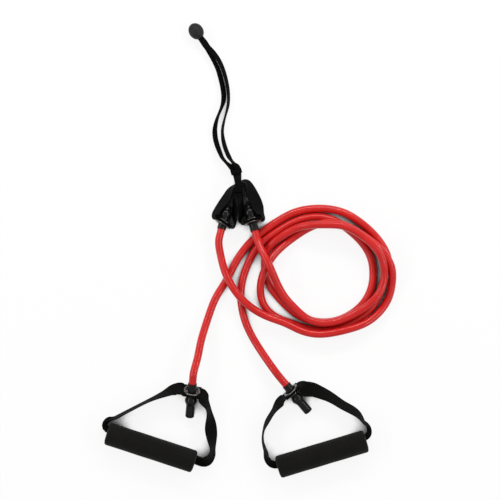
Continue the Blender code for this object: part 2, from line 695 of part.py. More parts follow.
def hand_loop(name, plan, materials):
    """A hand loop: webbing through the grip and back, both ends lapped at the eyelet on the tube."""
    way = heading(*plan["tube"])
    facing = heading(plan["facing"][0], -plan["facing"][1])
    seat = np.array(plan["seat"]) + SHIFT
    centre = eyelet_centre(seat, way, facing)
    angle = math.radians(plan["angle"])
    along = np.array([math.cos(angle), math.sin(angle), 0.0])
    beside = np.array([-math.sin(angle), math.cos(angle), 0.0])
    middle = np.array([*plan["grip"], GRIP_DIAMETER / 2]) + SHIFT
    half = GRIP_LENGTH / 2 + CORE_PROUD
    lean_in, lean_out = plan["mouth_leans"]

    def crease(spot, lean):
        """Where the middle of the rolled webbing lies in the grip, this far along it."""
        a = math.radians(lean)
        return middle + along * spot + curl_radius() * (math.cos(a) * beside - math.sin(a) * UP)

    lean_here = plan["facing"][1]
    reach = LAP_HALF_LENGTH
    first, going = flat_lap(centre, facing, LAP_SPACING / 2, reach - 1.5 * MM, reach)
    last, _ = flat_lap(centre, facing, -LAP_SPACING / 2, reach, reach - 1.5 * MM)
    enter, leave = crease(-half, lean_in), crease(half, lean_out)
    away = loop_run(middle - along * half, centre, plan["away"])
    back = loop_run(middle + along * half, centre, plan["back"])
    level, through = np.append(going, 0.0), np.append(along, 0.0)
    down = smooth_rows([[*first[-1], lean_here], *away, [*enter, lean_in]], LOOP_SPACING, level, through,
                       0.004, 0.0025)
    up = smooth_rows([[*leave, lean_out], *back, [*last[0], lean_here]], LOOP_SPACING, through, level,
                     0.0025, 0.004)
    bore = [[*crease(spot, lean), lean] for spot, lean in
            ((-half + 0.004, lean_in), (0.0, (lean_in + lean_out) / 2), (half - 0.004, lean_out))]
    rows = np.array([*[[*spot, lean_here] for spot in first[:-1]], *down, *bore, *up,
                     *[[*spot, lean_here] for spot in last[1:]]])
    lengths = np.concatenate([[0], np.cumsum(np.linalg.norm(np.diff(rows[:, :3], axis=0), axis=1))])
    mouth_in, mouth_out = lengths[3 + len(down)], lengths[4 + len(down) + len(bore)]
    outside = np.maximum(0, np.maximum(mouth_in - lengths, lengths - mouth_out))
    curls = np.clip(1 - (outside - 0.001) / UNROLL_LENGTH, 0, 1)
    strap = webbing(name + "_loop_webbing", rows[:, :3], leaning(rows[:, :3], rows[:, 3]), WEBBING_WIDTH,
                    WEBBING_THICKNESS, materials["webbing"], curls, across=4)
    punch(name + "_loop_hole", strap, centre, facing, EYELET_BORE / 2 + EYELET_WALL + FIT, PUNCH_DEPTH)

    pieces = [strap] + eyelet(name + "_loop", centre, facing, materials)
    swivel = joint_axis(name + "_loop_swivel_axis", seat, way)
    carried_by(swivel, pieces)

    frame = frame_along(middle, along)
    half, outer, core = GRIP_LENGTH / 2, GRIP_DIAMETER / 2, CORE_DIAMETER / 2
    rim = [(outer - GRIP_END_ROUND * (1 - math.sin(a)), half - GRIP_END_ROUND * (1 - math.cos(a)))
           for a in (0.0, math.pi / 8, math.pi / 4, 3 * math.pi / 8, math.pi / 2)]
    foam_profile = [(core + FIT, -half), (core + FIT, half)] + rim
    foam_profile += [(radius, -level_) for radius, level_ in reversed(rim)]
    foam = turned(name + "_foam_grip", foam_profile, materials["foam"], frame, GRIP_SEGMENTS)
    reach_core = half + CORE_PROUD
    edge = CORE_WALL / 4
    core_profile = [
        (core - CORE_WALL, -reach_core + edge), (core - CORE_WALL, reach_core - edge),
        (core - CORE_WALL + edge, reach_core), (core - edge, reach_core), (core, reach_core - edge),
        (core, -reach_core + edge), (core - edge, -reach_core), (core - CORE_WALL + edge, -reach_core),
    ]
    tube = turned(name + "_grip_core", core_profile, materials["core"], frame, GRIP_SEGMENTS)
    spin = joint_axis(name + "_grip_spin_axis", middle, along)
    carried_by(spin, [foam, tube])
    carried_by(swivel, [spin])
    fittings = frame_along(seat, way)
    end_fittings(name + "_loop", fittings, HANDLE_TAIL, materials, LOOP_SLEEVE_ABOVE_EYELET)
    return tube_end(fittings, HANDLE_TAIL, LOOP_SLEEVE_ABOVE_EYELET)


def yoke(materials):
    """Two lengths of webbing, one inside the other, that hold both tubes' upper ends in their eyelets."""
    ends, laps = {}, {}
    for side, plan in YOKE_LOBES.items():
        way = heading(*plan["tube"])
        facing = heading(plan["facing"][0], -plan["facing"][1])
        seat = np.array(plan["seat"]) + SHIFT
        centre = eyelet_centre(seat, way, facing)
        eyelet(side + "_yoke", centre, facing, materials)
        frame = frame_along(seat, way)
        end_fittings(side + "_yoke", frame, YOKE_TAIL, materials, plan["sleeve_run"])
        ends[side] = tube_end(frame, YOKE_TAIL, plan["sleeve_run"])
        laps[side] = (centre, facing, plan["facing"][1])

    for name, rows, flats, offset, turn in (
        ("yoke_webbing_outer", YOKE_OUTER, YOKE_OUTER_FLATS, LAP_SPACING / 2, -1),
        ("yoke_webbing_inner", YOKE_INNER, YOKE_INNER_FLATS, -LAP_SPACING / 2, 1),
    ):
        start, go = flat_lap(*laps["left"][:2], offset, *flats["left"])
        finish_, come = flat_lap(*laps["right"][:2], offset, *flats["right"])
        if turn < 0:
            start, go = start[::-1], -go
            finish_, come = finish_[::-1], -come
        route = [[x * MM + SHIFT[0], y * MM + SHIFT[1], edge_height(lean, lift), lean]
                 for x, y, lean, lift in rows]
        first = [*start[-1], laps["left"][2]]
        last = [*finish_[0], laps["right"][2]]
        free = smooth_rows([first, *route, last], YOKE_SPACING, np.append(go, 0.0), np.append(come, 0.0),
                           0.0022, 0.0022)
        places = np.array([*[[*s, first[3]] for s in start[:-1]], *free,
                           *[[*s, last[3]] for s in finish_[1:]]])
        strip = webbing(name, places[:, :3], leaning(places[:, :3], places[:, 3], turn),
                        WEBBING_WIDTH, WEBBING_THICKNESS, materials["webbing"])
        for side in ("left", "right"):
            centre, facing, _ = laps[side]
            punch(f"{name}_{side}_hole", strip, centre, facing, EYELET_BORE / 2 + EYELET_WALL + FIT, PUNCH_DEPTH)
    return ends


def build():
    clear_scene()
    materials = {
        "tube": finish("red_elastic", (0.60, 0.022, 0.020), 0.35),
        "sleeve": finish("black_sleeve", (0.012, 0.012, 0.012), 0.25),
        "stopper": finish("black_stopper", (0.012, 0.012, 0.012), 0.35),
        "eyelet": finish("dark_metal", (0.12, 0.115, 0.115), 0.3, 1.0),
        "webbing": finish("black_webbing", (0.010, 0.010, 0.010), 0.75),
        "foam": finish("black_foam", (0.008, 0.008, 0.007), 0.85),
        "core": finish("black_plastic", (0.015, 0.015, 0.015), 0.45),
        "ball": finish("black_rubber", (0.012, 0.012, 0.012), 0.6),
    }
    yoke_ends = yoke(materials)
    loop_ends = {side: hand_loop(side, plan, materials) for side, plan in HAND_LOOPS.items()}
    left = on_floor(LEFT_LEAD_IN) + round_coil(LEFT_TURNS) + on_floor(LEFT_LEAD_OUT)
    right = on_floor(RIGHT_LEAD_IN) + round_coil(RIGHT_TURNS) + on_floor(RIGHT_LEAD_OUT)
    lines = {}
    for side, route in (("left", left), ("right", right)):
        route = [spot + SHIFT for spot in route]
        lines[side] = hollow_tube(side + "_tube", yoke_ends[side], route, loop_ends[side],
                                  materials["tube"])
        least_gap(side + " tube to itself", lines[side])
    least_gap("left tube to right tube", lines["left"], lines["right"])
    anchor_hitch(materials)
    door_anchor(materials)


def hitch_lines():
    """Heights of the anchor's two layers where the neck ends, upper then lower."""
    return NECK_HEIGHT + ANCHOR_RUN_SPACING / 2, NECK_HEIGHT - ANCHOR_RUN_SPACING / 2


def rounded(corners, radii):
    """A line through corners in a plane, each corner turned on its own radius."""
    points = [corners[0]]
    for before, corner, after, radius in zip(corners, corners[1:], corners[2:], radii[1:]):
        here = np.array(corner)
        back, ahead = unit(np.array(before) - here), unit(np.array(after) - here)
        half = math.acos(float(np.clip(back @ ahead, -1, 1))) / 2
        centre = here + unit(back + ahead) * radius / math.sin(half)
        tangent = here + back * radius / math.tan(half)
        turn = math.pi - 2 * half
        side = math.copysign(1, back[0] * ahead[1] - back[1] * ahead[0])
        steps = max(2, round(turn / math.radians(28)))
        for k in range(steps + 1):
            a = -side * turn * k / steps
            arm = tangent - centre
            points.append((centre[0] + arm[0] * math.cos(a) - arm[1] * math.sin(a),
                           centre[1] + arm[0] * math.sin(a) + arm[1] * math.cos(a)))
    return points + [corners[-1]]


def anchor_hitch(materials):
    """The narrow strap round the tops of both lengths of yoke webbing, and the wrap round its neck."""
    thick = ANCHOR_THICKNESS
    top = WEBBING_WIDTH + WEBBING_OFF_FLOOR + YOKE_LIFT + 2 * FIT + thick / 2
    floor = thick / 2
    x, end = NECK_X + SHIFT[0], NECK_Y + SHIFT[1]
    flat = end - NECK_FLAT
    inside = INNER_APEX + SHIFT[1] - INNER_TURN - thick / 2 + 0.0006
    upper, lower = hitch_lines()
    corners = [(end, upper), (flat - 0.0020, upper), (flat - 0.0088, top), (inside, top),
               (inside, floor), (flat - 0.0095, floor), (flat - 0.0020, lower), (end, lower)]
    path = [[x, y, z] for y, z in rounded(corners, (0, 0.0020, 0.0020, 0.0009, 0.0009, 0.0025, 0.0020, 0))]
    path = np.array(path)
    wide = np.tile([1.0, 0.0, 0.0], (len(path), 1))
    webbing("anchor_hitch", path, wide, ANCHOR_WIDTH, thick, materials["webbing"])

    half_x = ANCHOR_WIDTH / 2 + 1.6 * FIT
    half_z = ANCHOR_RUN_SPACING / 2 + thick / 2 + 1.6 * FIT
    wall = WRAP_THICKNESS / 2
    ring = []
    for k in range(20):
        a = 2 * math.pi * (k + 0.5) / 20
        corner_x = math.copysign(half_x - 0.6 * half_z, math.cos(a))
        ring.append([x + corner_x + math.cos(a) * (0.6 * half_z + wall), end - 0.0018 - WRAP_WIDTH / 2,
                     NECK_HEIGHT + math.copysign(0.4 * half_z, math.sin(a))
                     + math.sin(a) * (0.6 * half_z + wall)])
    along = np.tile([0.0, 1.0, 0.0], (len(ring), 1))
    webbing("hitch_wrap", np.array(ring), along, WRAP_WIDTH, WRAP_THICKNESS, materials["webbing"],
            closed=True)


def door_anchor(materials):
    """The strap from the neck round through the ball and back, and the ball that a door traps."""
    thick = ANCHOR_THICKNESS
    upper, lower = hitch_lines()
    x, end = NECK_X + SHIFT[0], NECK_Y + SHIFT[1] + FIT
    out = heading(BALL_AZIMUTH, 0)
    ball = np.array([*BALL_PLACE, BALL_DIAMETER / 2]) + SHIFT
    mouth = ball - out * (BALL_LENGTH / 2 + 0.0015)
    bight = ball - out * (BALL_LENGTH / 2 - STRAP_IN_BALL + FIT + thick / 2 + BIGHT_RADIUS)
    rise = UP * BIGHT_RADIUS
    climb, drop = [
        [[px * MM + SHIFT[0], py * MM + SHIFT[1], edge_height(lean, lift, ANCHOR_WIDTH, thick), lean]
         for px, py, lift, lean in run]
        for run in (ANCHOR_UPPER_RUN, ANCHOR_LOWER_RUN)
    ]
    north = np.array([0.0, 1.0, 0.0, 0.0])
    going = smooth_rows([[x, end + NECK_STRAIGHT, upper, 90], *climb, [*(mouth + rise), 90]], ANCHOR_STEP,
                        north, np.append(out, 0.0), 0.0035, 0.005)
    coming = smooth_rows([[*(mouth - rise), 90], *drop, [x, end + NECK_STRAIGHT, lower, 90]], ANCHOR_STEP,
                         np.append(-out, 0.0), -north, 0.005, 0.0035)
    turn = [bight + out * BIGHT_RADIUS * math.cos(a) + rise * math.sin(a)
            for a in (math.pi / 2, math.pi / 4, 0.0, -math.pi / 4, -math.pi / 2)]
    up_run = np.array([[x, end, upper, 90], *going])
    down_run = np.array([*coming, [x, end, lower, 90]])
    places = np.array([*up_run[:, :3], *turn, *down_run[:, :3]])
    side = unit(np.cross(UP, out))
    wide = np.array([*leaning(up_run[:, :3], up_run[:, 3]), *[side] * len(turn),
                     *leaning(down_run[:, :3], down_run[:, 3], -1)])
    strap = webbing("anchor_strap", places, wide, ANCHOR_WIDTH, thick, materials["webbing"])

    steps = 12
    profile = [(BALL_DIAMETER / 2 * math.sin(math.pi * k / steps),
                -BALL_LENGTH / 2 * math.cos(math.pi * k / steps)) for k in range(steps + 1)]
    profile[0], profile[-1] = (0, -BALL_LENGTH / 2), (0, BALL_LENGTH / 2)
    frame = frame_along(ball, out)
    stop_ball = turned("anchor_ball", profile, materials["ball"], frame, 20)
    bm = bmesh.new()
    bmesh.ops.create_cube(bm, size=1.0)
    mesh = bpy.data.meshes.new("anchor_ball_slot")
    bm.to_mesh(mesh)
    bm.free()
    slot = bpy.data.objects.new("anchor_ball_slot", mesh)
    bpy.context.scene.collection.objects.link(slot)
    depth = STRAP_IN_BALL + 0.004
    middle = ball - out * (BALL_LENGTH / 2 + 0.004 - depth / 2)
    turn_to = Matrix([[*side], [*UP], [*np.cross(side, UP)]]).transposed().to_4x4()
    opening = 2 * (BIGHT_RADIUS + thick / 2 + FIT)
    size = Matrix.Diagonal((ANCHOR_WIDTH + 2 * FIT, opening, depth, 1.0))
    slot.matrix_world = Matrix.Translation(Vector(middle)) @ turn_to @ size
    cut(stop_ball, slot)
    fold = joint_axis("door_anchor_fold_axis", (x, end - FIT / 2, upper + thick / 2), (1, 0, 0))
    carried_by(fold, [strap, stop_ball])


build()
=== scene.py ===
import math

import bmesh
import bpy
import numpy as np
from mathutils import Matrix, Vector, noise


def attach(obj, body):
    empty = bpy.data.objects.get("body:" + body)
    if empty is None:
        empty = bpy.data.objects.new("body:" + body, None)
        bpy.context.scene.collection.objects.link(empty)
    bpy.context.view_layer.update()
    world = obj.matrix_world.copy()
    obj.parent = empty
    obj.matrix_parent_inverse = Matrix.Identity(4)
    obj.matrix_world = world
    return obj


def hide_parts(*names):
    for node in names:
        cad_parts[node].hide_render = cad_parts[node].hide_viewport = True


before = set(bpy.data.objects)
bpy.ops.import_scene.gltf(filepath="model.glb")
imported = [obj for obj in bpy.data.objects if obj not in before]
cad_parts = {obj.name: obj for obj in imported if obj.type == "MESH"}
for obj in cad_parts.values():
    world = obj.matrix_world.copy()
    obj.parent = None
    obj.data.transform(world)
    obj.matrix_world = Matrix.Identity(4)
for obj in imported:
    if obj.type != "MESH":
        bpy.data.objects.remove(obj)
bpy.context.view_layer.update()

scene = bpy.context.scene
scene.view_settings.view_transform = "Standard"
MM = 0.001


# The table and the light. The set lies on a white sheet, which is dark only in the nooks of the yoke and
# the coil, where an occlusion mask dims its glow: that darkness is painted shade. Long soft boxes hang
# behind it and on its left and right, and draw the thin bright lines along the tubes and sleeves, and a
# pale sky fills the shadows.

def add_node(tree, kind, sockets=None, **settings):
    """Adds a node. A socket that is given another node's output is linked, any other value is set on it."""
    made = tree.nodes.new("ShaderNode" + kind)
    for name, value in settings.items():
        setattr(made, name, value)
    for name, value in (sockets or {}).items():
        if isinstance(value, bpy.types.NodeSocket):
            tree.links.new(value, made.inputs[name])
        else:
            made.inputs[name].default_value = value
    return made


def calculate(tree, operation, *values):
    """The result of a Math node."""
    return add_node(tree, "Math", dict(enumerate(values)), operation=operation).outputs[0]


def linked(obj):
    scene.collection.objects.link(obj)
    return obj


sheet_finish = bpy.data.materials.new("white_sheet")
sheet_finish.use_nodes = True
tree = sheet_finish.node_tree
tree.nodes.clear()
sight = add_node(tree, "LightPath")
seen = calculate(tree, "MAXIMUM", sight.outputs["Is Camera Ray"], sight.outputs["Is Glossy Ray"])
seen = calculate(tree, "MAXIMUM", seen, sight.outputs["Is Transmission Ray"])
share = calculate(tree, "MULTIPLY", seen, 0.86)
matt = add_node(tree, "BsdfDiffuse", {"Color": (0.93, 0.93, 0.93, 1.0)})
# Painted shade: the sheet's glow fades where ambient occlusion finds a nook, so the nooks of the yoke and the
# coil go dark
nook = add_node(tree, "AmbientOcclusion", {"Distance": 0.03}, samples=16)
open_to_sky = add_node(tree, "MapRange", {"Value": nook.outputs["AO"], "From Min": 0.27, "From Max": 0.45})
white = add_node(tree, "Emission", {"Color": (1.0, 1.0, 1.0, 1.0), "Strength": open_to_sky.outputs["Result"]})
both = add_node(tree, "MixShader", {0: share, 1: matt.outputs[0], 2: white.outputs[0]})
add_node(tree, "OutputMaterial", {"Surface": both.outputs[0]})

bm = bmesh.new()
bmesh.ops.create_grid(bm, x_segments=2, y_segments=2, size=6.0)
bmesh.ops.translate(bm, verts=bm.verts, vec=(0, 0, -0.0004))
mesh = bpy.data.meshes.new("sheet")
bm.to_mesh(mesh)
bm.free()
mesh.materials.append(sheet_finish)
linked(bpy.data.objects.new("sheet", mesh))

sky = bpy.data.worlds.new("sky")
sky.use_nodes = True
sky.node_tree.nodes["Background"].inputs["Color"].default_value = (1.0, 1.0, 1.0, 1.0)
sky.node_tree.nodes["Background"].inputs["Strength"].default_value = 0.48
scene.world = sky

for name, place, aim, power in (
    ("soft_box_behind", (0.10, 1.70, 1.45), (0.0, -1.0, -0.85), 24.0),
    ("soft_box_left", (-1.60, 0.15, 1.45), (1.0, 0.0, -0.90), 13.0),
    ("soft_box_right", (1.60, 0.05, 1.45), (-1.0, 0.0, -0.90), 13.0),
):
    lamp = bpy.data.lights.new(name, "AREA")
    lamp.shape = "RECTANGLE"
    lamp.size, lamp.size_y = 2.4, 0.24
    lamp.energy = power
    box = linked(bpy.data.objects.new(name, lamp))
    facing = Vector(aim).normalized()
    long_way = facing.cross(Vector((0, 0, 1))).normalized()
    box.matrix_world = Matrix.Translation(place) @ Matrix([long_way, facing.cross(long_way) * -1,
                                                           -facing]).transposed().to_4x4()


# The camera looks straight down from four metres up, through a long lens, so that 500 pixels take in
# 725 mm of the table.

CAMERA_HEIGHT = 4.0
VIEW_WIDTH = 0.725
camera_data = bpy.data.cameras.new("camera")
camera_data.sensor_width = 36.0
camera_data.lens = 36.0 * (CAMERA_HEIGHT - 0.010) / VIEW_WIDTH
camera_data.clip_end = 50.0
camera = linked(bpy.data.objects.new("camera", camera_data))
camera.location = (0.0187, -0.0007, CAMERA_HEIGHT)
scene.camera = camera


# The elastic tubes: two hollow extrusions of soft red latex, 11.2 mm thick. Each starts at its stopper in
# the yoke, takes its turns in the coil, and ends at the stopper of a hand loop.

UP = np.array([0.0, 0.0, 1.0])
TUBE_RADIUS = 5.6
BORE_RADIUS = 3.0
LAYER = 11.7
BALL_FROM_EYELET = 13.6
SWELL_REACH = 9.0
SWELL_HEIGHT = 2.6
BORE_SWELL = 3.9

# All lengths are in millimetres from here on. Places were measured from the middle of the set without its
# tubes, and SHIFT takes them to the frame's origin.
SHIFT = np.array([0.3, -0.6, 0.0])
COIL_CENTRE = (122.8, -34.9)

# The ends of the tubes: the place in the eyelet, the compass angle and dip of the way out of it, and how
# far the sleeve reaches before it and the stopper's head lies behind it
TUBE_ENDS = {
    "left_yoke": dict(seat=(-20.6, 39.3, 13.3), way=(75.5, 8.0), before=10.0, head=22.9),
    "right_yoke": dict(seat=(21.8, 41.5, 13.3), way=(105.0, 12.0), before=15.2, head=22.9),
    "left_loop": dict(seat=(-65.8, -205.0, 18.0), way=(264.8, 18.0), before=12.6, head=36.4),
    "right_loop": dict(seat=(78.6, -204.7, 13.4), way=(-50.0, 8.0), before=12.6, head=36.4),
}

# The ways of both tubes, down from the yoke, nearly two turns round the coil, and away to a grip, as in
# part.py. The points were read from the photograph and then moved apart by a relaxing program. Free runs
# are (x, y, layer), and turns are (angle in degrees, radius, layer) about the coil's middle. Layer 0 is on
# the table, and layer 1 is on another tube.
LEFT_LEAD_IN = [
    (-25.6, 12, 0.72), (-24.4, -9, 0.66), (-19.4, -27, 0.91), (-13, -42, 1.07), (-5, -57, 1.04),
    (6, -70.5, 1.02), (22, -84.5, 1.01), (45, -97, 1),
]
LEFT_TURNS = [
    (-127, 89, 1), (-105, 87.5, 1), (-88, 86.7, 1), (-72, 87, 1.01), (-57, 91.2, 0.86),
    (-42, 97.5, 0.41), (-29, 101.1, 0.11), (-16, 103.1, 0.11), (-4, 102.1, 0.53), (6, 100.7, 0.99),
    (14, 97.6, 1.06), (24, 90.6, 0.92), (35, 85.1, 0.76), (47, 81.1, 0.83), (58, 78.1, 1.03),
    (68, 77.3, 1.05), (77.9, 75.8, 1.01), (88, 74, 0.82), (98, 71.3, 0.55), (108, 68.9, 0.27),
    (118, 67.2, 0.07), (128, 66.9, 0), (137.9, 68.1, 0.07), (147.9, 70.9, 0.34), (158, 74.5, 0.74),
    (167.1, 79, 1.03), (175.1, 83, 1.1), (183, 86.9, 0.97), (191, 91, 0.68), (200, 94, 0.36),
    (210, 95.5, 0.1), (222, 92, 0), (236, 85, 0), (252, 82.6, 0), (270, 82.7, 0), (287, 83.1, 0),
    (303, 84, 0), (318, 85.5, 0), (331, 87.6, 0), (343, 88.4, 0), (353, 89.4, 0), (362, 94, 0),
    (372, 98.5, 0), (386, 96.8, 0), (399, 94.5, 0), (412, 93.4, 0), (425, 94.2, 0), (439, 94.8, 0),
    (452, 95.1, 0), (464, 96.5, 0), (476, 98.1, 0), (488, 99.6, 0), (498, 102.6, 0),
    (505, 106.1, 0),
]
LEFT_LEAD_OUT = [
    (21.9, 14.1, 0), (12, 4.1, 0), (1, -13, 0), (-9, -30, 0), (-17, -46, 0), (-26, -60, 0),
    (-37, -83, 0), (-45.5, -108, 0.25), (-53, -134, 0.95), (-58.4, -160, 1.5),
]

RIGHT_LEAD_IN = [
    (32, 8, 1.3), (37, -4, 1.77), (44, -18, 2.19), (50, -31, 1.95), (57, -47, 1.45),
    (68, -67, 1.08), (85, -86, 1.01),
]
RIGHT_TURNS = [
    (-108, 68.2, 1.01), (-92, 70.5, 1.01), (-76, 71.3, 1.01), (-59, 72.4, 1.01), (-42, 76.9, 1.01),
    (-25, 84.4, 1.02), (-8.1, 89.8, 1.05), (3.9, 89.9, 1.35), (12.9, 89, 1.81), (23, 87.1, 1.94),
    (35, 82.3, 1.84), (47, 78.9, 1.88), (58, 77.5, 2.04), (68, 75.4, 2.06), (78.1, 72.9, 2),
    (88.1, 71.4, 1.85), (98.1, 72, 1.6), (108.1, 73.6, 1.28), (118.1, 75.6, 0.87),
    (128.1, 78.4, 0.67), (139.1, 80.7, 0.66), (150.1, 84.9, 0.44), (160, 86.2, 0.1),
    (167.9, 85, 0), (176, 82.6, 0), (186, 80.1, 0), (196, 76.5, 0), (208, 72, 0), (222, 69.3, 0),
    (238, 68.8, 0), (254, 69.1, 0), (270, 69.8, 0), (286, 70.6, 0), (303.1, 71.5, 0),
    (319.1, 72.9, 0), (335, 74.2, 0), (350, 74.2, 0), (364, 74.3, 0), (378, 74.6, 0),
    (392, 74.2, 0), (406, 73.4, 0), (417, 74.5, 0), (427, 76.9, 0), (438, 79.8, 0),
    (449.9, 82.5, 0), (461.9, 84, 0), (474, 85.4, 0), (486, 87, 0), (497, 89.9, 0),
    (507, 94.4, 0),
]
RIGHT_LEAD_OUT = [
    (28.1, 2.9, 0), (21, -9, 0), (15, -22, 0), (9, -38, 0), (5.5, -56, 0), (5.5, -75, 0),
    (10, -99, 0), (19, -121, 0.05), (32, -143, 0.3), (47, -165, 0.72),
]


def unit(vector):
    return vector / np.linalg.norm(vector)


def heading(azimuth, dip):
    """Unit vector from its compass angle in degrees, anticlockwise from +X, and its dip below level."""
    a, d = math.radians(azimuth), math.radians(dip)
    return np.array([math.cos(a) * math.cos(d), math.sin(a) * math.cos(d), -math.sin(d)])


def free_run(rows):
    """Places of a free run, from (x, y, layer)."""
    return [np.array([x, y, TUBE_RADIUS + layer * LAYER]) for x, y, layer in rows]


def round_coil(rows):
    """Places of the turns, from (angle, radius, layer)."""
    return free_run([(COIL_CENTRE[0] + radius * math.cos(math.radians(angle)),
                      COIL_CENTRE[1] + radius * math.sin(math.radians(angle)), layer)
                     for angle, radius, layer in rows])


def cubic_through(points, start_slope=None, end_slope=None):
    """The smooth curve through rows whose first three columns are a place. Returns its knots and a
    function that reads rows from it."""
    points = np.asarray(points, float)
    step = np.linalg.norm(np.diff(points[:, :3], axis=0), axis=1)
    knots = np.concatenate([[0], np.cumsum(step)])
    rise = np.diff(points, axis=0) / step[:, None]
    system = np.eye(len(points))
    right = np.zeros_like(points)
    for i in range(1, len(points) - 1):
        system[i, i - 1:i + 2] = step[i - 1], 2 * (step[i - 1] + step[i]), step[i]
        right[i] = 6 * (rise[i] - rise[i - 1])
    if start_slope is not None:
        system[0, :2] = 2 * step[0], step[0]
        right[0] = 6 * (rise[0] - start_slope)
    if end_slope is not None:
        system[-1, -2:] = step[-1], 2 * step[-1]
        right[-1] = 6 * (end_slope - rise[-1])
    bend = np.linalg.solve(system, right)

    def read(where):
        i = np.clip(np.searchsorted(knots, where, side="right") - 1, 0, len(step) - 1)
        h = step[i][:, None]
        a = (knots[i + 1] - where)[:, None] / h
        b = 1 - a
        curve = a * points[i] + b * points[i + 1]
        return curve + ((a**3 - a) * bend[i] + (b**3 - b) * bend[i + 1]) * h**2 / 6

    return knots, read


def even_rows(points, spacing, start_slope=None, end_slope=None):
    """Rows at an even spacing on the smooth curve through the given rows."""
    knots, read = cubic_through(points, start_slope, end_slope)
    return read(np.linspace(0, knots[-1], int(knots[-1] / spacing) + 1))


def length_along(line):
    return np.concatenate([[0], np.cumsum(np.linalg.norm(np.diff(line, axis=0), axis=1))])


def smooth_rows(points, spacing, start_slope, end_slope, at_start=math.inf, at_end=math.inf):
    """A few rows along the smooth curve through the given rows, which may lie closer near an end."""
    knots, read = cubic_through(points, start_slope, end_slope)
    fine = np.linspace(0, knots[-1], 60 * len(points))
    along = length_along(read(fine)[:, :3])
    local = np.minimum(spacing, np.minimum(at_start + 0.35 * along, at_end + 0.35 * (along[-1] - along)))
    passed = np.concatenate([[0], np.cumsum(2 * np.diff(along) / (local[1:] + local[:-1]))])
    count = max(2, int(round(passed[-1])) + 1)
    return read(np.interp(np.linspace(0, passed[-1], count), passed, fine))


def swelling(height):
    """How far a tube swells over the stopper's ball, 0 to 1, this far behind the eyelet."""
    return np.cos(np.pi / 2 * np.clip((np.asarray(height) - BALL_FROM_EYELET) / SWELL_REACH, -1, 1)) ** 2


def directions(line):
    """Unit direction of a line at each of its points."""
    ahead = np.gradient(line, axis=0)
    return ahead / np.linalg.norm(ahead, axis=1)[:, None]


def skin(name, rings, joined=False):
    """A mesh through rings of points, each ring closed on itself. The last ring joins the first, or both
    ends are filled. Its UV map holds millimetres along and round the skin."""
    count, around = rings.shape[:2]
    closed = np.concatenate([rings, rings[:, :1]], axis=1)
    along = length_along(rings.mean(axis=1)) * 1000
    if joined:
        along = length_along(rings[:, 0]) * 1000
    wide = length_along(closed[count // 2]) * 1000
    bm = bmesh.new()
    bmesh.ops.create_grid(bm, x_segments=count - 1, y_segments=around, size=1.0)
    uv = bm.loops.layers.uv.new("UVMap")
    places = {}
    for vert in bm.verts:
        i = round((vert.co.x + 1) / 2 * (count - 1))
        j = round((vert.co.y + 1) / 2 * around)
        places[vert] = (i, j)
    for face in bm.faces:
        for loop in face.loops:
            i, j = places[loop.vert]
            loop[uv].uv = (along[i], wide[j])
    for vert, (i, j) in places.items():
        vert.co = closed[i, j]
    bmesh.ops.remove_doubles(bm, verts=bm.verts, dist=2e-7)
    if not joined:
        bmesh.ops.holes_fill(bm, edges=[e for e in bm.edges if e.is_boundary])
    bmesh.ops.recalc_face_normals(bm, faces=bm.faces)
    if bm.calc_volume(signed=True) < 0:
        bmesh.ops.reverse_faces(bm, faces=bm.faces)
    return bm


def piece(name, bm, finish, body, slot, *nodes, sharp=40):
    """Makes a finished piece from a bmesh. It rides on its body and stands for the named CAD nodes."""
    mesh = bpy.data.meshes.new(name)
    bm.to_mesh(mesh)
    bm.free()
    mesh.materials.append(finish)
    mesh.shade_smooth()
    mesh.set_sharp_from_angle(angle=math.radians(sharp))
    obj = linked(bpy.data.objects.new(name, mesh))
    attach(obj, body)
    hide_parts(*nodes)
    return obj


def group(name, inputs, outputs):
    """A new shader node group with named number or vector sockets."""
    made = bpy.data.node_groups.new(name, "ShaderNodeTree")
    for label, kind, value in inputs:
        socket = made.interface.new_socket(label, in_out="INPUT", socket_type="NodeSocket" + kind)
        if value is not None:
            socket.default_value = value
    for label in outputs:
        made.interface.new_socket(label, in_out="OUTPUT", socket_type="NodeSocketFloat")
    source = made.nodes.new("NodeGroupInput")
    sink = made.nodes.new("NodeGroupOutput")
    return made, source, sink


# Cloudy unevenness, from 0 to 1, for colour and gloss that are never quite the same all over
mottle, source, sink = group("mottle", [("Vector", "Vector", None), ("Scale", "Float", 50.0),
                                        ("Low", "Float", 0.35), ("High", "Float", 0.65)], ["Amount"])
cloud = add_node(mottle, "TexNoise", {"Vector": source.outputs["Vector"], "Scale": source.outputs["Scale"],
                                      "Detail": 4.0, "Roughness": 0.6})
spread = add_node(mottle, "MapRange", {"Value": cloud.outputs["Fac"], "From Min": source.outputs["Low"],
                                       "From Max": source.outputs["High"]})
mottle.links.new(spread.outputs["Result"], sink.inputs["Amount"])

# Small pale specks of dust and lint
specks, source, sink = group("specks", [("Vector", "Vector", None), ("Scale", "Float", 400.0),
                                        ("Size", "Float", 0.12)], ["Amount"])
dots = add_node(specks, "TexVoronoi", {"Vector": source.outputs["Vector"], "Scale": source.outputs["Scale"]})
near = add_node(specks, "MapRange", {"Value": dots.outputs["Distance"], "From Min": 0.0,
                                     "From Max": source.outputs["Size"], "To Min": 1.0, "To Max": 0.0})
specks.links.new(near.outputs["Result"], sink.inputs["Amount"])


def amount_of(tree, made, place, scale, **sockets):
    """Places a node group in a material, at its own scale, and returns the group's amount."""
    node = add_node(tree, "Group", {"Vector": place, "Scale": scale, **sockets}, node_tree=made)
    return node.outputs["Amount"]


def finish_of(name, **sockets):
    """A material with a Principled BSDF whose named sockets are set, with its object coordinates."""
    material = bpy.data.materials.new(name)
    material.use_nodes = True
    shader = material.node_tree.nodes["Principled BSDF"]
    for label, value in sockets.items():
        shader.inputs[label.replace("_", " ")].default_value = value
    tree = material.node_tree
    return material, tree, shader, add_node(tree, "TexCoord").outputs["Object"]


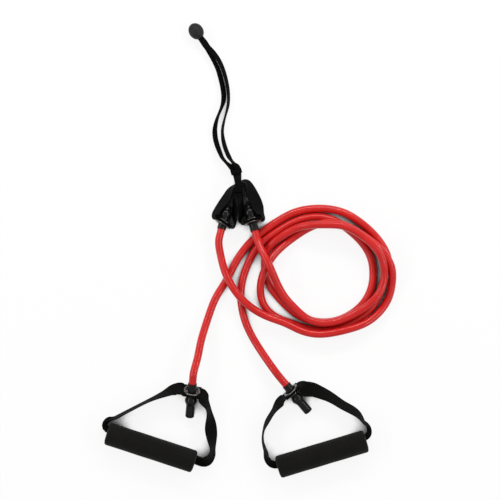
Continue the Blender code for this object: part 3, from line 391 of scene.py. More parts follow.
def between(tree, amount, first, second):
    """Mixes two colours by an amount. The first is a colour or another node's output."""
    if isinstance(first, tuple):
        first = (*first, 1.0)
    mix = add_node(tree, "Mix", {"Factor": amount, "A": first, "B": (*second, 1.0)}, data_type="RGBA")
    return mix.outputs["Result"]


def to_range(tree, amount, low, high):
    return add_node(tree, "MapRange", {"Value": amount, "To Min": low, "To Max": high}).outputs["Result"]


def dress(tree, shader, colour, roughness, height=None, strength=0.0, distance=0.0):
    """Links a material's colour and roughness, and the fine relief of a height where it has one."""
    tree.links.new(colour, shader.inputs["Base Color"])
    tree.links.new(roughness, shader.inputs["Roughness"])
    if height is not None:
        bump = add_node(tree, "Bump", {"Height": height, "Strength": strength, "Distance": distance})
        tree.links.new(bump.outputs["Normal"], shader.inputs["Normal"])


latex, tree, shader, place = finish_of("red_latex", Roughness=0.25, IOR=1.52, Specular_IOR_Level=0.42)
uv = add_node(tree, "TexCoord").outputs["UV"]
drawn = add_node(tree, "Mapping", {"Vector": uv, "Scale": (0.02, 1.0, 1.0)}).outputs["Vector"]
streaks = amount_of(tree, mottle, drawn, 1.6, Low=0.3, High=0.7)
clouds = amount_of(tree, mottle, place, 30.0)
dust = amount_of(tree, specks, place, 520.0, Size=0.10)
red = between(tree, clouds, (0.64, 0.014, 0.012), (0.56, 0.009, 0.008))
red = between(tree, calculate(tree, "MULTIPLY", dust, 0.25), red, (0.70, 0.09, 0.08))
dress(tree, shader, red, to_range(tree, streaks, 0.15, 0.23), streaks, 0.12, 0.00010)


def round_rings(line, radii, around):
    """Rings of points round a line that never stands upright."""
    way = directions(line)
    side = np.cross(way, UP)
    side /= np.linalg.norm(side, axis=1)[:, None]
    top = np.cross(side, way)
    turn = 2 * np.pi * np.arange(around) / around - np.pi / 2
    arms = side[:, None] * np.cos(turn)[:, None] + top[:, None] * np.sin(turn)[:, None]
    return line[:, None] + arms * np.asarray(radii)[:, None, None]


for side, lead_in, turns, lead_out, length in (
    ("left", LEFT_LEAD_IN, LEFT_TURNS, LEFT_LEAD_OUT, 1.50),
    ("right", RIGHT_LEAD_IN, RIGHT_TURNS, RIGHT_LEAD_OUT, 1.32),
):
    straights, swells, outwards = [], [], []
    for end in (TUBE_ENDS[side + "_yoke"], TUBE_ENDS[side + "_loop"]):
        heights = np.linspace(-end["before"] - 11.2, end["head"] - 0.3, 29)
        way = heading(*end["way"])
        straights.append(np.array(end["seat"]) + SHIFT + heights[:, None] * way)
        swells.append(swelling(heights))
        outwards.append(way)
    route = np.array(free_run(lead_in) + round_coil(turns) + free_run(lead_out)) + SHIFT
    route = smooth_rows([straights[0][0], *route, straights[1][0]], 24.5, -outwards[0], outwards[1])
    free = even_rows(route, 2.2, -outwards[0], outwards[1])[1:-1]
    line = np.concatenate([straights[0][::-1], free, straights[1]])
    line[:, 2] = np.maximum(line[:, 2], TUBE_RADIUS)
    swell = np.concatenate([swells[0][::-1], np.zeros(len(free)), swells[1]])
    outer = round_rings(line * MM, (TUBE_RADIUS + SWELL_HEIGHT * swell) * MM, 28)
    some = np.append(np.arange(0, len(line) - 1, 2), len(line) - 1)
    inner = round_rings(line[some] * MM, (BORE_RADIUS + BORE_SWELL * swell[some]) * MM, 28)[::-1]
    tube = piece(side + "_latex_tube", skin(side, np.concatenate([outer, inner, outer[:1]]), joined=True),
                 latex, "tubes_and_yoke", "red_elastic", side + "_tube")


# The stoppers: a moulded ball on a shank in each tube's end, too wide to slip back through the eyelet.
# Only its rounded head shows, where it closes the cut end of the tube.

def placed(point, direction):
    """The place of a turned piece: its Z lies along a direction."""
    turn = Vector(direction).to_track_quat("Z", "Y").to_matrix().to_4x4()
    return Matrix.Translation(Vector(point) * MM) @ turn


def in_eyelet(end):
    """The place of a tube's end, with its Z along the tube."""
    return placed(np.array(end["seat"]) + SHIFT, heading(*end["way"]))


def turned(profile, matrix, steps=64, rounding=0.0):
    """Turns a profile of (radius, height) in millimetres once round Z, and puts it in its place."""
    bm = bmesh.new()
    verts = [bm.verts.new((radius * MM, 0, height * MM)) for radius, height in profile]
    edges = [bm.edges.new(pair) for pair in zip(verts, verts[1:] + verts[:1])
             if pair[0].co.x > 0 or pair[1].co.x > 0]
    bmesh.ops.spin(bm, geom=verts + edges, axis=(0, 0, 1), cent=(0, 0, 0), steps=steps,
                   angle=2 * math.pi, use_merge=True)
    bmesh.ops.remove_doubles(bm, verts=bm.verts, dist=2e-7)
    bmesh.ops.recalc_face_normals(bm, faces=bm.faces)
    if bm.calc_volume(signed=True) < 0:
        bmesh.ops.reverse_faces(bm, faces=bm.faces)
    if rounding:
        corners = [e for e in bm.edges if e.is_manifold and e.calc_face_angle() > math.radians(35)]
        bmesh.ops.bevel(bm, geom=corners, offset=rounding, affect="EDGES", segments=3, profile=0.5,
                        material=-1, clamp_overlap=True)
    bmesh.ops.transform(bm, matrix=matrix, verts=bm.verts)
    return bm


moulded, tree, shader, place = finish_of("moulded_stopper", Roughness=0.42, IOR=1.49,
                                         Specular_IOR_Level=0.12)
clouds = amount_of(tree, mottle, place, 420.0)
black = between(tree, clouds, (0.004, 0.004, 0.004), (0.008, 0.0075, 0.0075))
dress(tree, shader, black, to_range(tree, clouds, 0.36, 0.50), clouds, 0.2, 0.0001)

STOPPER_BALL_RADIUS = 5.95

for name, end in TUBE_ENDS.items():
    ball = [(STOPPER_BALL_RADIUS * math.sin(a), BALL_FROM_EYELET - STOPPER_BALL_RADIUS * math.cos(a))
            for a in np.linspace(0.434, math.pi - 0.434, 17)]
    head = end["head"]
    crown = [(6.45 - 2.2 * (1 - math.cos(a)), head + 1.2 + 2.2 * math.sin(a))
             for a in np.linspace(0, math.pi / 2, 7)]
    profile = [(0, -2.4), (1.4, -2.4), (2.0, -1.8), (2.5, 0.1), *ball, (2.5, head),
               (6.3, head), (6.45, head + 0.2), *crown, (2.2, head + 3.4), (1.9, head + 3.1),
               (0, head + 3.1)]
    piece(name + "_stopper_plug", turned(profile, in_eyelet(end), 48), moulded, "tubes_and_yoke",
          "black_stopper", name + "_stopper")


# The sleeves: thin black tubing shrunk over each end of the tube, from above the eyelet to the stopper's
# head. It is glossy, and shows the ball that bulges under it.

SLEEVE_WALL = 0.55
SLEEVE_FIT = 0.4

vinyl, tree, shader, place = finish_of("shrunk_vinyl", Roughness=0.22, IOR=1.53, Specular_IOR_Level=0.22)
clouds = amount_of(tree, mottle, place, 160.0, Low=0.3, High=0.7)
dust = amount_of(tree, specks, place, 620.0, Size=0.10)
black = between(tree, clouds, (0.006, 0.006, 0.006), (0.010, 0.010, 0.010))
black = between(tree, calculate(tree, "MULTIPLY", dust, 0.10), black, (0.16, 0.15, 0.14))
dress(tree, shader, black, to_range(tree, clouds, 0.10, 0.24), clouds, 0.35, 0.0002)

for name, end in TUBE_ENDS.items():
    foot = end["head"] - 0.3
    heights = [*np.linspace(-end["before"], 3.5, 9), *np.arange(4.6, min(22.61, foot - 0.2), 0.75),
               *np.arange(24.0, foot - 0.2, 1.5), foot]
    inside = [(TUBE_RADIUS + SWELL_HEIGHT * swelling(height) + SLEEVE_FIT, height) for height in heights]
    outside = [(radius + SLEEVE_WALL, height) for radius, height in reversed(inside)]
    bm = turned(inside + outside, Matrix.Identity(4), 56)
    for vert in bm.verts:
        puckers = noise.noise(Vector((vert.co.x * 260 + end["seat"][0] * 3.7, vert.co.y * 260,
                                      vert.co.z * 130)))
        vert.co.xy *= 1 + 0.010 * puckers
    bmesh.ops.transform(bm, matrix=in_eyelet(end), verts=bm.verts)
    piece(name + "_shrunk_sleeve", bm, vinyl, "tubes_and_yoke", "black_sleeve", name + "_sleeve")


# The webbing: black nylon, 25.4 mm wide, woven close with a firm edge. Its cut ends are heat sealed, and
# each lap of two layers is punched for an eyelet.

WEBBING_WIDTH = 25.4
WEBBING_THICKNESS = 1.4
LAP_SPACING = 1.7
EYELET_BORE_RADIUS = 8.3
PUNCH_RADIUS = 9.3
CORE_HALF_LENGTH = 67.1

# Height of the weave's threads: warp threads lie along the webbing and dip under every other weft. Its
# shade output carries painted shade and painted highlight: low in the hollows between threads, high on
# their crests
weave, source, sink = group("weave", [("Vector", "Vector", None), ("Thread", "Float", 0.85),
                                      ("Stitch", "Float", 1.5)], ["Height", "Shade"])
parts = add_node(weave, "SeparateXYZ", {"Vector": source.outputs["Vector"]})
column = calculate(weave, "DIVIDE", parts.outputs["Y"], source.outputs["Thread"])
row = calculate(weave, "DIVIDE", parts.outputs["X"], source.outputs["Stitch"])
stagger = calculate(weave, "MULTIPLY", calculate(weave, "FLOOR", column), 0.5)
across = calculate(weave, "MULTIPLY", column, math.pi)
along = calculate(weave, "MULTIPLY", calculate(weave, "ADD", row, stagger), math.pi)
rib = calculate(weave, "ABSOLUTE", calculate(weave, "SINE", across))
dip = calculate(weave, "ABSOLUTE", calculate(weave, "SINE", along))
round_rib = calculate(weave, "POWER", rib, 0.6)
height = calculate(weave, "MULTIPLY", round_rib, calculate(weave, "POWER", dip, 0.5))
weave.links.new(height, sink.inputs["Height"])
shade = add_node(weave, "MapRange", {"Value": height, "From Min": 0.2, "From Max": 1.0})
weave.links.new(shade.outputs["Result"], sink.inputs["Shade"])


def webbing_finish(name, thread, stitch, dark, light, fuzz):
    """Black woven nylon. Its UV map holds millimetres along and across."""
    material, tree, shader, place = finish_of(name, Roughness=0.72, IOR=1.5, Specular_IOR_Level=0.04)
    uv = add_node(tree, "TexCoord").outputs["UV"]
    threads = add_node(tree, "Group", {"Vector": uv, "Thread": thread, "Stitch": stitch}, node_tree=weave)
    clouds = amount_of(tree, mottle, place, 70.0)
    lint = amount_of(tree, specks, place, 480.0, Size=0.11)
    # Painted shade and painted highlight: the colour goes dark in the weave's hollows and light on the
    # threads' crests
    colour = between(tree, threads.outputs["Shade"], dark, light)
    colour = between(tree, calculate(tree, "MULTIPLY", clouds, 0.35), colour, dark)
    colour = between(tree, calculate(tree, "MULTIPLY", lint, fuzz), colour, (0.13, 0.12, 0.11))
    dress(tree, shader, colour, to_range(tree, threads.outputs["Shade"], 0.82, 0.62),
          threads.outputs["Height"], 0.7, 0.0003)
    return material


wide_webbing = webbing_finish("wide_webbing", 0.85, 1.5, (0.0014, 0.0014, 0.0013), (0.0058, 0.0057, 0.0053),
                              0.10)


def strap_section(width, thickness, steps):
    """Outline of webbing across its width, with round, slightly swollen edges."""
    r = thickness / 2
    flat = np.linspace(-width / 2 + 1.5 * r, width / 2 - 1.5 * r, steps)
    swollen = 1 + 0.10 * np.clip((np.abs(flat) - 0.40 * width) / (0.06 * width), 0, 1)
    edge = [(width / 2 - 1.5 * r + 1.5 * r * math.sin(a), 1.10 * r * math.cos(a))
            for a in np.linspace(0, math.pi, 7)[1:-1]]
    top = [(s, r * k) for s, k in zip(flat, swollen)]
    outline = top + edge + [(s, -h) for s, h in reversed(top)] + [(-s, -h) for s, h in edge]
    return np.array(outline) * MM


CURL_RADIUS = 9.3


def strap(rows, width, thickness, spacing, steps=14, closed=False):
    """Webbing along its rows, as a closed skin."""
    rows = np.array(rows, float)
    fine = rows if closed else even_rows(rows, spacing)
    centres = fine[:, :3] * MM
    if closed:
        ahead = np.roll(centres, -1, axis=0) - np.roll(centres, 1, axis=0)
        ahead /= np.linalg.norm(ahead, axis=1)[:, None]
    else:
        ahead = directions(centres)
    wide = fine[:, 3:6] - (fine[:, 3:6] * ahead).sum(axis=1)[:, None] * ahead
    wide /= np.linalg.norm(wide, axis=1)[:, None]
    out = np.cross(ahead, wide)
    curl = np.clip(fine[:, 6], 0, 1) if fine.shape[1] > 6 else np.zeros(len(fine))
    arc = CURL_RADIUS * MM / np.maximum(curl, 1e-4)
    section = strap_section(width, thickness, steps)
    turn = section[:, 0][None] / arc[:, None]
    side = arc[:, None] * np.sin(turn) - section[:, 1] * np.sin(turn)
    sag = arc[:, None] * (1 - np.cos(turn)) + section[:, 1] * np.cos(turn)
    rings = centres[:, None] + wide[:, None] * side[:, :, None] + out[:, None] * sag[:, :, None]
    if closed:
        rings = np.concatenate([rings, rings[:1]])
    return skin("strap", rings, joined=closed)


# The hand loops' webbing, as (share of the way from the grip's end to the eyelet, distance off that
# straight line to its left, lean in degrees), away from the grip's left mouth and back from its right one
LEFT_LOOP_AWAY = [
    (0.877, 12.6, 39), (0.78, 14.6, 27), (0.692, 15.0, 16), (0.556, 15.6, 8), (0.357, 15.3, 7),
    (0.18, 14.6, 8), (0.08, 13.4, 9), (0.038, 10.8, 10),
]
LEFT_LOOP_BACK = [
    (0.015, -15.5, 38), (0.045, -21.5, 30), (0.10, -25.6, 18), (0.17, -26.2, 17), (0.29, -25.8, 30),
    (0.446, -25.1, 42), (0.60, -24.4, 27), (0.735, -23.0, 14), (0.82, -20.0, 24), (0.893, -16.4, 36),
]
RIGHT_LOOP_AWAY = [
    (0.862, 12.0, 27), (0.79, 16.2, 25), (0.685, 21.5, 12), (0.585, 25.8, 13), (0.451, 29.4, 4),
    (0.306, 28.0, 5), (0.164, 20.4, 13), (0.068, 10.4, 22),
]
RIGHT_LOOP_BACK = [
    (0.05, -12.4, 10), (0.136, -20.4, 9), (0.231, -24.8, 20), (0.433, -24.2, 28), (0.60, -23.7, 34),
    (0.751, -20.7, 46), (0.83, -17.8, 54), (0.90, -14.3, 52),
]

# The grip's middle and angle in each hand loop, and the lean of the webbing in the grip's two mouths
HAND_LOOPS = {
    "left": dict(grip=(-125.0, -286.2, 16.5), angle=-18.1, mouth_leans=(12.0, 36.0), away=LEFT_LOOP_AWAY,
                 back=LEFT_LOOP_BACK),
    "right": dict(grip=(122.6, -295.5, 16.5), angle=16.7, mouth_leans=(25.0, 12.0), away=RIGHT_LOOP_AWAY,
                  back=RIGHT_LOOP_BACK),
}

# The yoke's webbing between its two flat ends, as (x, y, lean in degrees, lift off the table)
YOKE_OUTER = [
    (-32.8, 49.6, 16, 0), (-30.2, 55.5, 22, 0), (-25.7, 62, 25, 0), (-20.3, 69.4, 28, 0),
    (-14.6, 77, 30, 0), (-10.4, 84.8, 21, 0.8), (-6.4, 90.5, 12, 1.5), (-2, 94, 7, 1.7),
    (3, 96.8, 5, 1.7), (7.5, 98.4, 8, 1.7), (11.8, 97.2, 20, 1.2), (16.4, 91.4, 33, 0.4),
    (20.3, 83.6, 40, 0), (24.6, 74.6, 43, 0), (28.6, 65.6, 41, 0), (31.8, 56.6, 31, 0),
    (34.6, 49.4, 18, 0),
]
YOKE_INNER = [
    (-4.4, 33.4, 3, 0), (-2.8, 37.5, -3, 0), (-3.0, 42, -8, 0), (-3.8, 49, -14, 0),
    (-3.9, 58, -15, 0), (-4.0, 68, -8, 0.3), (-4.7, 77.5, -1, 1.2), (-4.45, 83.7, 0, 1.7),
    (-2.5, 87.7, 0, 1.7), (1.5, 89.4, 0, 1.7), (5.5, 87.7, 0, 1.7), (7.45, 83.7, 0, 1.7),
    (7.7, 77.5, -1, 1.2), (6.3, 68, -8, 0.3), (5.7, 58, -15, 0), (4.9, 49, -14, 0),
    (3.3, 42.5, -5, 0), (4.6, 38.6, 2, 0),
]

# How far each length of yoke webbing runs flat to the left and to the right of each eyelet
OUTER_FLATS = {"left": (13.6, 13.0), "right": (12.6, 13.3)}
INNER_FLATS = {"left": (12.0, 14.4), "right": (13.5, 11.8)}

# How the webbing faces at each eyelet: the compass angle, and the lean back from upright
FACINGS = {
    "left_yoke": (237.3, 6.0),
    "right_yoke": (-74.0, 10.0),
    "left_loop": (79.2, 36.0),
    "right_loop": (132.8, 16.0),
}


def leaning(rows, inward=1, curls=0.0):
    """Rows of a strap from rows of (x, y, z, lean): it leans from upright towards the left of its way. A
    short step counts for more than a long one in its direction."""
    steps = np.diff(rows[:, :3], axis=0)
    lengths = np.linalg.norm(steps, axis=1)[:, None]
    slopes = steps / lengths
    inner = (slopes[:-1] * lengths[1:] + slopes[1:] * lengths[:-1]) / (lengths[1:] + lengths[:-1])
    level = np.cross(UP, np.concatenate([slopes[:1], inner, slopes[-1:]]))
    level /= np.linalg.norm(level, axis=1)[:, None]
    lean = np.radians(rows[:, 3])[:, None]
    wide = np.cos(lean) * UP + inward * np.sin(lean) * level
    return np.column_stack([rows[:, :3], wide, np.zeros(len(rows)) + curls])


def edge_height(lean, lift=0.0):
    """Height of the middle of webbing that stands on its edge and leans."""
    a = math.radians(lean)
    return WEBBING_WIDTH / 2 * math.cos(a) + WEBBING_THICKNESS / 2 * math.sin(a) + 0.4 + lift


def eyelet_place(name):
    """Middle of an eyelet's bore and the way that it faces. It hangs on the tube, so it is raised until
    the sleeve rests in it."""
    end = TUBE_ENDS[name]
    way = heading(*end["way"])
    facing = heading(FACINGS[name][0], -FACINGS[name][1])
    side = unit(np.cross(facing, UP))
    rise = unit(UP - (UP @ way) * way)
    turn = 2 * np.pi * np.arange(24)[:, None] / 24
    ring = EYELET_BORE_RADIUS * (np.cos(turn) * side + np.sin(turn) * np.cross(facing, side))
    rim = np.concatenate([ring - 3.15 * facing, ring + 2.6 * facing])
    low, high = 0.0, 2 * EYELET_BORE_RADIUS
    clear = TUBE_RADIUS + SLEEVE_FIT + SLEEVE_WALL + 0.3
    for _ in range(30):
        middle = (low + high) / 2
        spots = rim + rise * middle
        off = spots - (spots @ way)[:, None] * way
        if np.linalg.norm(off, axis=1).min() > clear:
            low = middle
        else:
            high = middle
    return np.array(end["seat"]) + SHIFT + rise * low, facing


EYELETS = {name: eyelet_place(name) for name in TUBE_ENDS}


def flat_lap(name, offset, before, after):
    """Places of a straight stretch through an eyelet, on one side of the lap, and the way along it."""
    centre, facing = EYELETS[name]
    way = unit(np.cross(UP, facing))
    middle = centre + facing * offset
    return [middle + way * spot for spot in (-before, 1 - before, 0.0, after - 1, after)], way


def with_lean(places, lean):
    return [[*spot, lean] for spot in places]


def loop_side(start, finish, rows):
    """Rows of one side of a hand loop between the grip's mouth and the eyelet."""
    line = finish[:2] - start[:2]
    left = unit(np.array([-line[1], line[0]]))
    made = []
    for share, off, lean in rows:
        near = max(0.0, 1 - (1 - share) / 0.42) ** 1.3
        rest = edge_height(lean)
        made.append([*(start[:2] + line * share + left * off), rest + (finish[2] - rest) * near, lean])
    return made


def grip_place(side):
    """Middle of a grip and the way along it."""
    return np.array(HAND_LOOPS[side]["grip"]) + SHIFT, heading(HAND_LOOPS[side]["angle"], 0)


def hand_loop(side):
    """Rows of a hand loop: from its lap at the eyelet through the grip, rolled up, and back to the lap."""
    plan = HAND_LOOPS[side]
    name = side + "_loop"
    centre = EYELETS[name][0]
    middle, along = grip_place(side)
    beside = np.cross(UP, along)
    half = CORE_HALF_LENGTH
    lean_in, lean_out = plan["mouth_leans"]
    lean_here = FACINGS[name][1]

    def crease(spot, lean):
        """Where the middle of the rolled webbing lies in the grip, this far along it."""
        a = math.radians(lean)
        return [*(middle + along * spot + CURL_RADIUS * (math.cos(a) * beside - math.sin(a) * UP)), lean]

    first, going = flat_lap(name, LAP_SPACING / 2, 13.0, 14.5)
    last, _ = flat_lap(name, -LAP_SPACING / 2, 14.5, 13.0)
    level, through = np.append(going, 0.0), np.append(along, 0.0)
    down = smooth_rows([[*first[-1], lean_here], *loop_side(middle - along * half, centre, plan["away"]),
                        crease(-half, lean_in)], 10.5, level, through, 4.0, 2.5)
    up = smooth_rows([crease(half, lean_out), *loop_side(middle + along * half, centre, plan["back"]),
                      [*last[0], lean_here]], 10.5, through, level, 2.5, 4.0)
    bore = [crease(4 - half, lean_in), crease(0, (lean_in + lean_out) / 2), crease(half - 4, lean_out)]
    rows = np.array([*with_lean(first[:-1], lean_here), *down, *bore, *up, *with_lean(last[1:], lean_here)])
    lengths = length_along(rows[:, :3])
    mouth_in, mouth_out = lengths[3 + len(down)], lengths[7 + len(down)]
    outside = np.maximum(0, np.maximum(mouth_in - lengths, lengths - mouth_out))
    return leaning(rows, curls=np.clip(1 - (outside - 1) / 20, 0, 1))


def yoke_length(route, flats, offset, turn):
    """Rows of one length of the yoke's webbing, from the left eyelet to the right one."""
    start, go = flat_lap("left_yoke", offset, *flats["left"])
    finish, come = flat_lap("right_yoke", offset, *flats["right"])
    if turn < 0:
        start, go = start[::-1], -go
        finish, come = finish[::-1], -come
    here, there = FACINGS["left_yoke"][1], FACINGS["right_yoke"][1]
    free = smooth_rows([[*start[-1], here],
                        *[[x + SHIFT[0], y + SHIFT[1], edge_height(lean, lift), lean]
                          for x, y, lean, lift in route],
                        [*finish[0], there]], 5.0, np.append(go, 0.0), np.append(come, 0.0), 2.2, 2.2)
    return leaning(np.array([*with_lean(start[:-1], here), *free, *with_lean(finish[1:], there)]), turn)


def cut_out(obj, bm):
    """Takes a closed shape out of a piece, and leaves nothing of the cutter."""
    mesh = bpy.data.meshes.new("cutter")
    bm.to_mesh(mesh)
    bm.free()
    cutter = linked(bpy.data.objects.new("cutter", mesh))
    modifier = obj.modifiers.new("cut", "BOOLEAN")
    modifier.operation = "DIFFERENCE"
    modifier.solver = "EXACT"
    modifier.object = cutter
    graph = bpy.context.evaluated_depsgraph_get()
    result = bpy.data.meshes.new_from_object(obj.evaluated_get(graph))
    obj.modifiers.clear()
    obj.data = result
    obj.data.set_sharp_from_angle(angle=math.radians(40))
    bpy.data.objects.remove(cutter, do_unlink=True)
    bpy.data.meshes.remove(mesh)


def punch(obj, eyelet):
    """Punches the round hole that an eyelet sits in."""
    bm = bmesh.new()
    bmesh.ops.create_cone(bm, cap_ends=True, segments=48, radius1=PUNCH_RADIUS * MM,
                          radius2=PUNCH_RADIUS * MM, depth=0.012)
    bmesh.ops.transform(bm, matrix=placed(*EYELETS[eyelet]), verts=bm.verts)
    cut_out(obj, bm)


for name, rows, body, eyelets in (
    ("yoke_webbing_outer", yoke_length(YOKE_OUTER, OUTER_FLATS, LAP_SPACING / 2, -1), "tubes_and_yoke",
     ("left_yoke", "right_yoke")),
    ("yoke_webbing_inner", yoke_length(YOKE_INNER, INNER_FLATS, -LAP_SPACING / 2, 1), "tubes_and_yoke",
     ("left_yoke", "right_yoke")),
    ("left_loop_webbing", hand_loop("left"), "left_hand_loop", ("left_loop",)),
    ("right_loop_webbing", hand_loop("right"), "right_hand_loop", ("right_loop",)),
):
    bm = strap(rows, WEBBING_WIDTH, WEBBING_THICKNESS, 1.6)
    webbing = piece(name + "_strap", bm, wide_webbing, body, "black_webbing", name)
    for eyelet in eyelets:
        punch(webbing, eyelet)


# The eyelets: pressed steel with a dark plating. The grommet's collar passes through both layers of
# webbing and is rolled over a flat washer behind them.

plated, tree, shader, place = finish_of("dark_plating", Roughness=0.26, Metallic=1.0)
clouds = amount_of(tree, mottle, place, 260.0)
scuffs = amount_of(tree, mottle, place, 900.0, Low=0.55, High=0.75)
metal = between(tree, clouds, (0.100, 0.096, 0.092), (0.170, 0.164, 0.156))
metal = between(tree, calculate(tree, "MULTIPLY", scuffs, 0.3), metal, (0.38, 0.365, 0.35))
dress(tree, shader, metal, to_range(tree, clouds, 0.20, 0.36), scuffs, 0.1, 0.00006)

for name, (spot, facing) in EYELETS.items():
    body = {"left_loop": "left_hand_loop", "right_loop": "right_hand_loop"}.get(name, "tubes_and_yoke")
    dome = [(10.15 - 1.85 * math.cos(a), 1.9 + 1.45 * math.sin(a)) for a in np.linspace(0, math.pi, 15)[1:-1]]
    ring = [(EYELET_BORE_RADIUS, -3.0), (EYELET_BORE_RADIUS, 1.9), *dome, (12.0, 2.15), (11.95, 1.9),
            (11.75, 1.86), (9.0, 1.86), (9.0, -2.85), (10.55, -2.85), (10.65, -3.05), (10.4, -3.5),
            (9.7, -3.76), (9.0, -3.72), (8.5, -3.4)]
    piece(name + "_grommet", turned(ring, placed(spot, facing), 80), plated, body, "dark_metal",
          name + "_eyelet")
    plate = [(9.3, -2.5), (11.1, -2.5), (11.2, -2.4), (11.2, -1.97), (11.1, -1.87), (9.3, -1.87)]
    piece(name + "_back_ring", turned(plate, placed(spot, facing), 64), plated, body, "dark_metal",
          name + "_washer")


# The grips: a black foam tube, 133 mm long and 33 mm thick, pushed over a hard plastic core that turns
# on the webbing. The foam's skin is matt and full of fine pores.

core_plastic, tree, shader, place = finish_of("core_plastic", Roughness=0.45, IOR=1.49)
clouds = amount_of(tree, mottle, place, 300.0)
black = between(tree, clouds, (0.012, 0.012, 0.012), (0.022, 0.021, 0.020))
dress(tree, shader, black, to_range(tree, clouds, 0.38, 0.55))

foam, tree, shader, place = finish_of("black_foam_skin", Roughness=0.9, IOR=1.4,
                                      Specular_IOR_Level=0.15, Sheen_Weight=0.05)
pores = add_node(tree, "TexVoronoi", {"Vector": place, "Scale": 900.0}, feature="SMOOTH_F1")
fine_pores = add_node(tree, "TexVoronoi", {"Vector": place, "Scale": 2300.0})
clouds = amount_of(tree, mottle, place, 55.0)
lint = amount_of(tree, specks, place, 330.0, Size=0.09)
# Painted shade: the skin's colour is darkest at the middle of each pore, where its bump dips
skin_colour = between(tree, pores.outputs["Distance"], (0.0040, 0.0040, 0.0036), (0.0105, 0.0100, 0.0088))
skin_colour = between(tree, calculate(tree, "MULTIPLY", clouds, 0.4), skin_colour, (0.0065, 0.0062, 0.0055))
skin_colour = between(tree, calculate(tree, "MULTIPLY", lint, 0.12), skin_colour, (0.12, 0.11, 0.10))
cells = calculate(tree, "ADD", pores.outputs["Distance"], fine_pores.outputs["Distance"])
dress(tree, shader, skin_colour, to_range(tree, clouds, 0.84, 0.96), cells, 0.6, 0.0004)

for side in HAND_LOOPS:
    spot, way = grip_place(side)
    half = CORE_HALF_LENGTH
    core = [(10.3, 0.5 - half), (10.3, half - 0.5), (10.8, half), (11.5, half), (12.0, half - 0.5),
            (12.0, 0.5 - half), (11.5, -half), (10.8, -half)]
    piece(side + "_core_tube", turned(core, placed(spot, way), 72), core_plastic, side + "_grip",
          "black_plastic", side + "_grip_core")
    corner = [(16.5 - 3.6 * (1 - math.cos(a)), 62.9 + 3.6 * math.sin(a))
              for a in np.linspace(0, math.pi / 2, 9)]
    outside = corner[::-1] + [(16.5, h) for h in np.linspace(61, -61, 62)] + [(r, -h) for r, h in corner]
    bore = [(12.3, h) for h in np.linspace(-66.5, 66.5, 23)]
    bm = turned(outside + bore, Matrix.Identity(4), 96)
    for vert in bm.verts:
        if vert.co.xy.length > 0.0132:
            dents = noise.noise(vert.co * 45 + Vector((5, 0, 9)))
            grain = noise.noise(vert.co * 420)
            vert.co.xy *= 1 + 0.010 * dents + 0.0022 * grain
    bmesh.ops.transform(bm, matrix=placed(spot, way), verts=bm.verts)
    grip = piece(side + "_foam_sleeve", bm, foam, side + "_grip", "black_foam", side + "_foam_grip",
                 sharp=60)


# The door anchor's hitch: a narrow woven strap wraps the tops of both yoke webbings, and a band holds its
# two layers together at the neck.

ANCHOR_WIDTH = 9.0
ANCHOR_THICKNESS = 1.2


def rounded(corners, radii):
    """A line through corners in a plane, each corner turned on its own radius."""
    points = [corners[0]]
    for before, corner, after, radius in zip(corners, corners[1:], corners[2:], radii[1:]):
        here = np.array(corner)
        back, ahead = unit(np.array(before) - here), unit(np.array(after) - here)
        half = math.acos(float(np.clip(back @ ahead, -1, 1))) / 2
        centre = here + unit(back + ahead) * radius / math.sin(half)
        arm = here + back * radius / math.tan(half) - centre
        turn = math.copysign(math.pi - 2 * half, ahead[0] * back[1] - ahead[1] * back[0])
        for a in np.linspace(0, turn, max(2, round(abs(turn) / math.radians(28))) + 1):
            points.append((centre[0] + arm[0] * math.cos(a) - arm[1] * math.sin(a),
                           centre[1] + arm[0] * math.sin(a) + arm[1] * math.cos(a)))
    return points + [corners[-1]]


# The strap's line as seen from the side, in (y, z): down from the neck over the yoke's webbing, round
# inside it, and back along the table
over = rounded([(118.45, 12.45), (108.7, 12.45), (101.9, 28.7), (83.1, 28.7), (83.1, 0.6), (92.0, 0.6)],
               (0, 2.0, 2.0, 0.9, 0.9, 0))
back = rounded([(92.0, 0.6), (101.2, 0.6), (108.7, 10.95), (118.45, 10.95)], (0, 2.5, 2.0, 0))
over[1:1] = [(116.3, 12.45), (113.6, 12.45)]
back[-1:-1] = [(113.6, 10.95), (116.4, 10.95)]
hitch = []
for line, spots, aside in ((over, (110.0, 113.6, 116.3, 118.45), (1.8, 1.65, 1.35, 0.53)),
                           (back[1:], (84.0, 92.0, 99.9, 108.1, 113.6, 118.45),
                            (1.8, 1.55, 0.55, -1.85, -4.1, -7.15))):
    for y, z in line:
        twist = math.radians(float(np.interp(y, (109.7, 113.6, 118.45), (0, 5, 12))))
        hitch.append((float(np.interp(y, spots, aside)), y, z, math.cos(twist), 0.0, -math.sin(twist)))

# The band lies round both layers, turned a little to the strap's way
band = []
for k in range(20):
    a = 2 * math.pi * (k + 0.5) / 20
    wide = 0.1 + math.copysign(5.97, math.cos(a)) + 1.65 * math.cos(a)
    high = 11.7 + math.copysign(1.03, math.sin(a)) + 1.65 * math.sin(a)
    band.append((-1.3 + 0.957 * wide, 112.9 + 0.29 * wide, high, -0.29, 0.957, 0.0))

narrow_webbing = webbing_finish("narrow_webbing", 0.75, 1.3, (0.0014, 0.0014, 0.0013),
                                (0.0058, 0.0057, 0.0055), 0.09)
piece("hitch_strap", strap(hitch, ANCHOR_WIDTH, ANCHOR_THICKNESS, 0.6, steps=9), narrow_webbing,
      "tubes_and_yoke", "black_webbing", "anchor_hitch")
piece("neck_band", strap(band, 7.0, 1.1, 0.6, steps=7, closed=True), narrow_webbing,
      "tubes_and_yoke", "black_webbing", "hitch_wrap")


# The door anchor: the strap runs from the neck to the ball and back in one piece. The rubber ball is
# moulded over its bight, and jams behind a closed door.

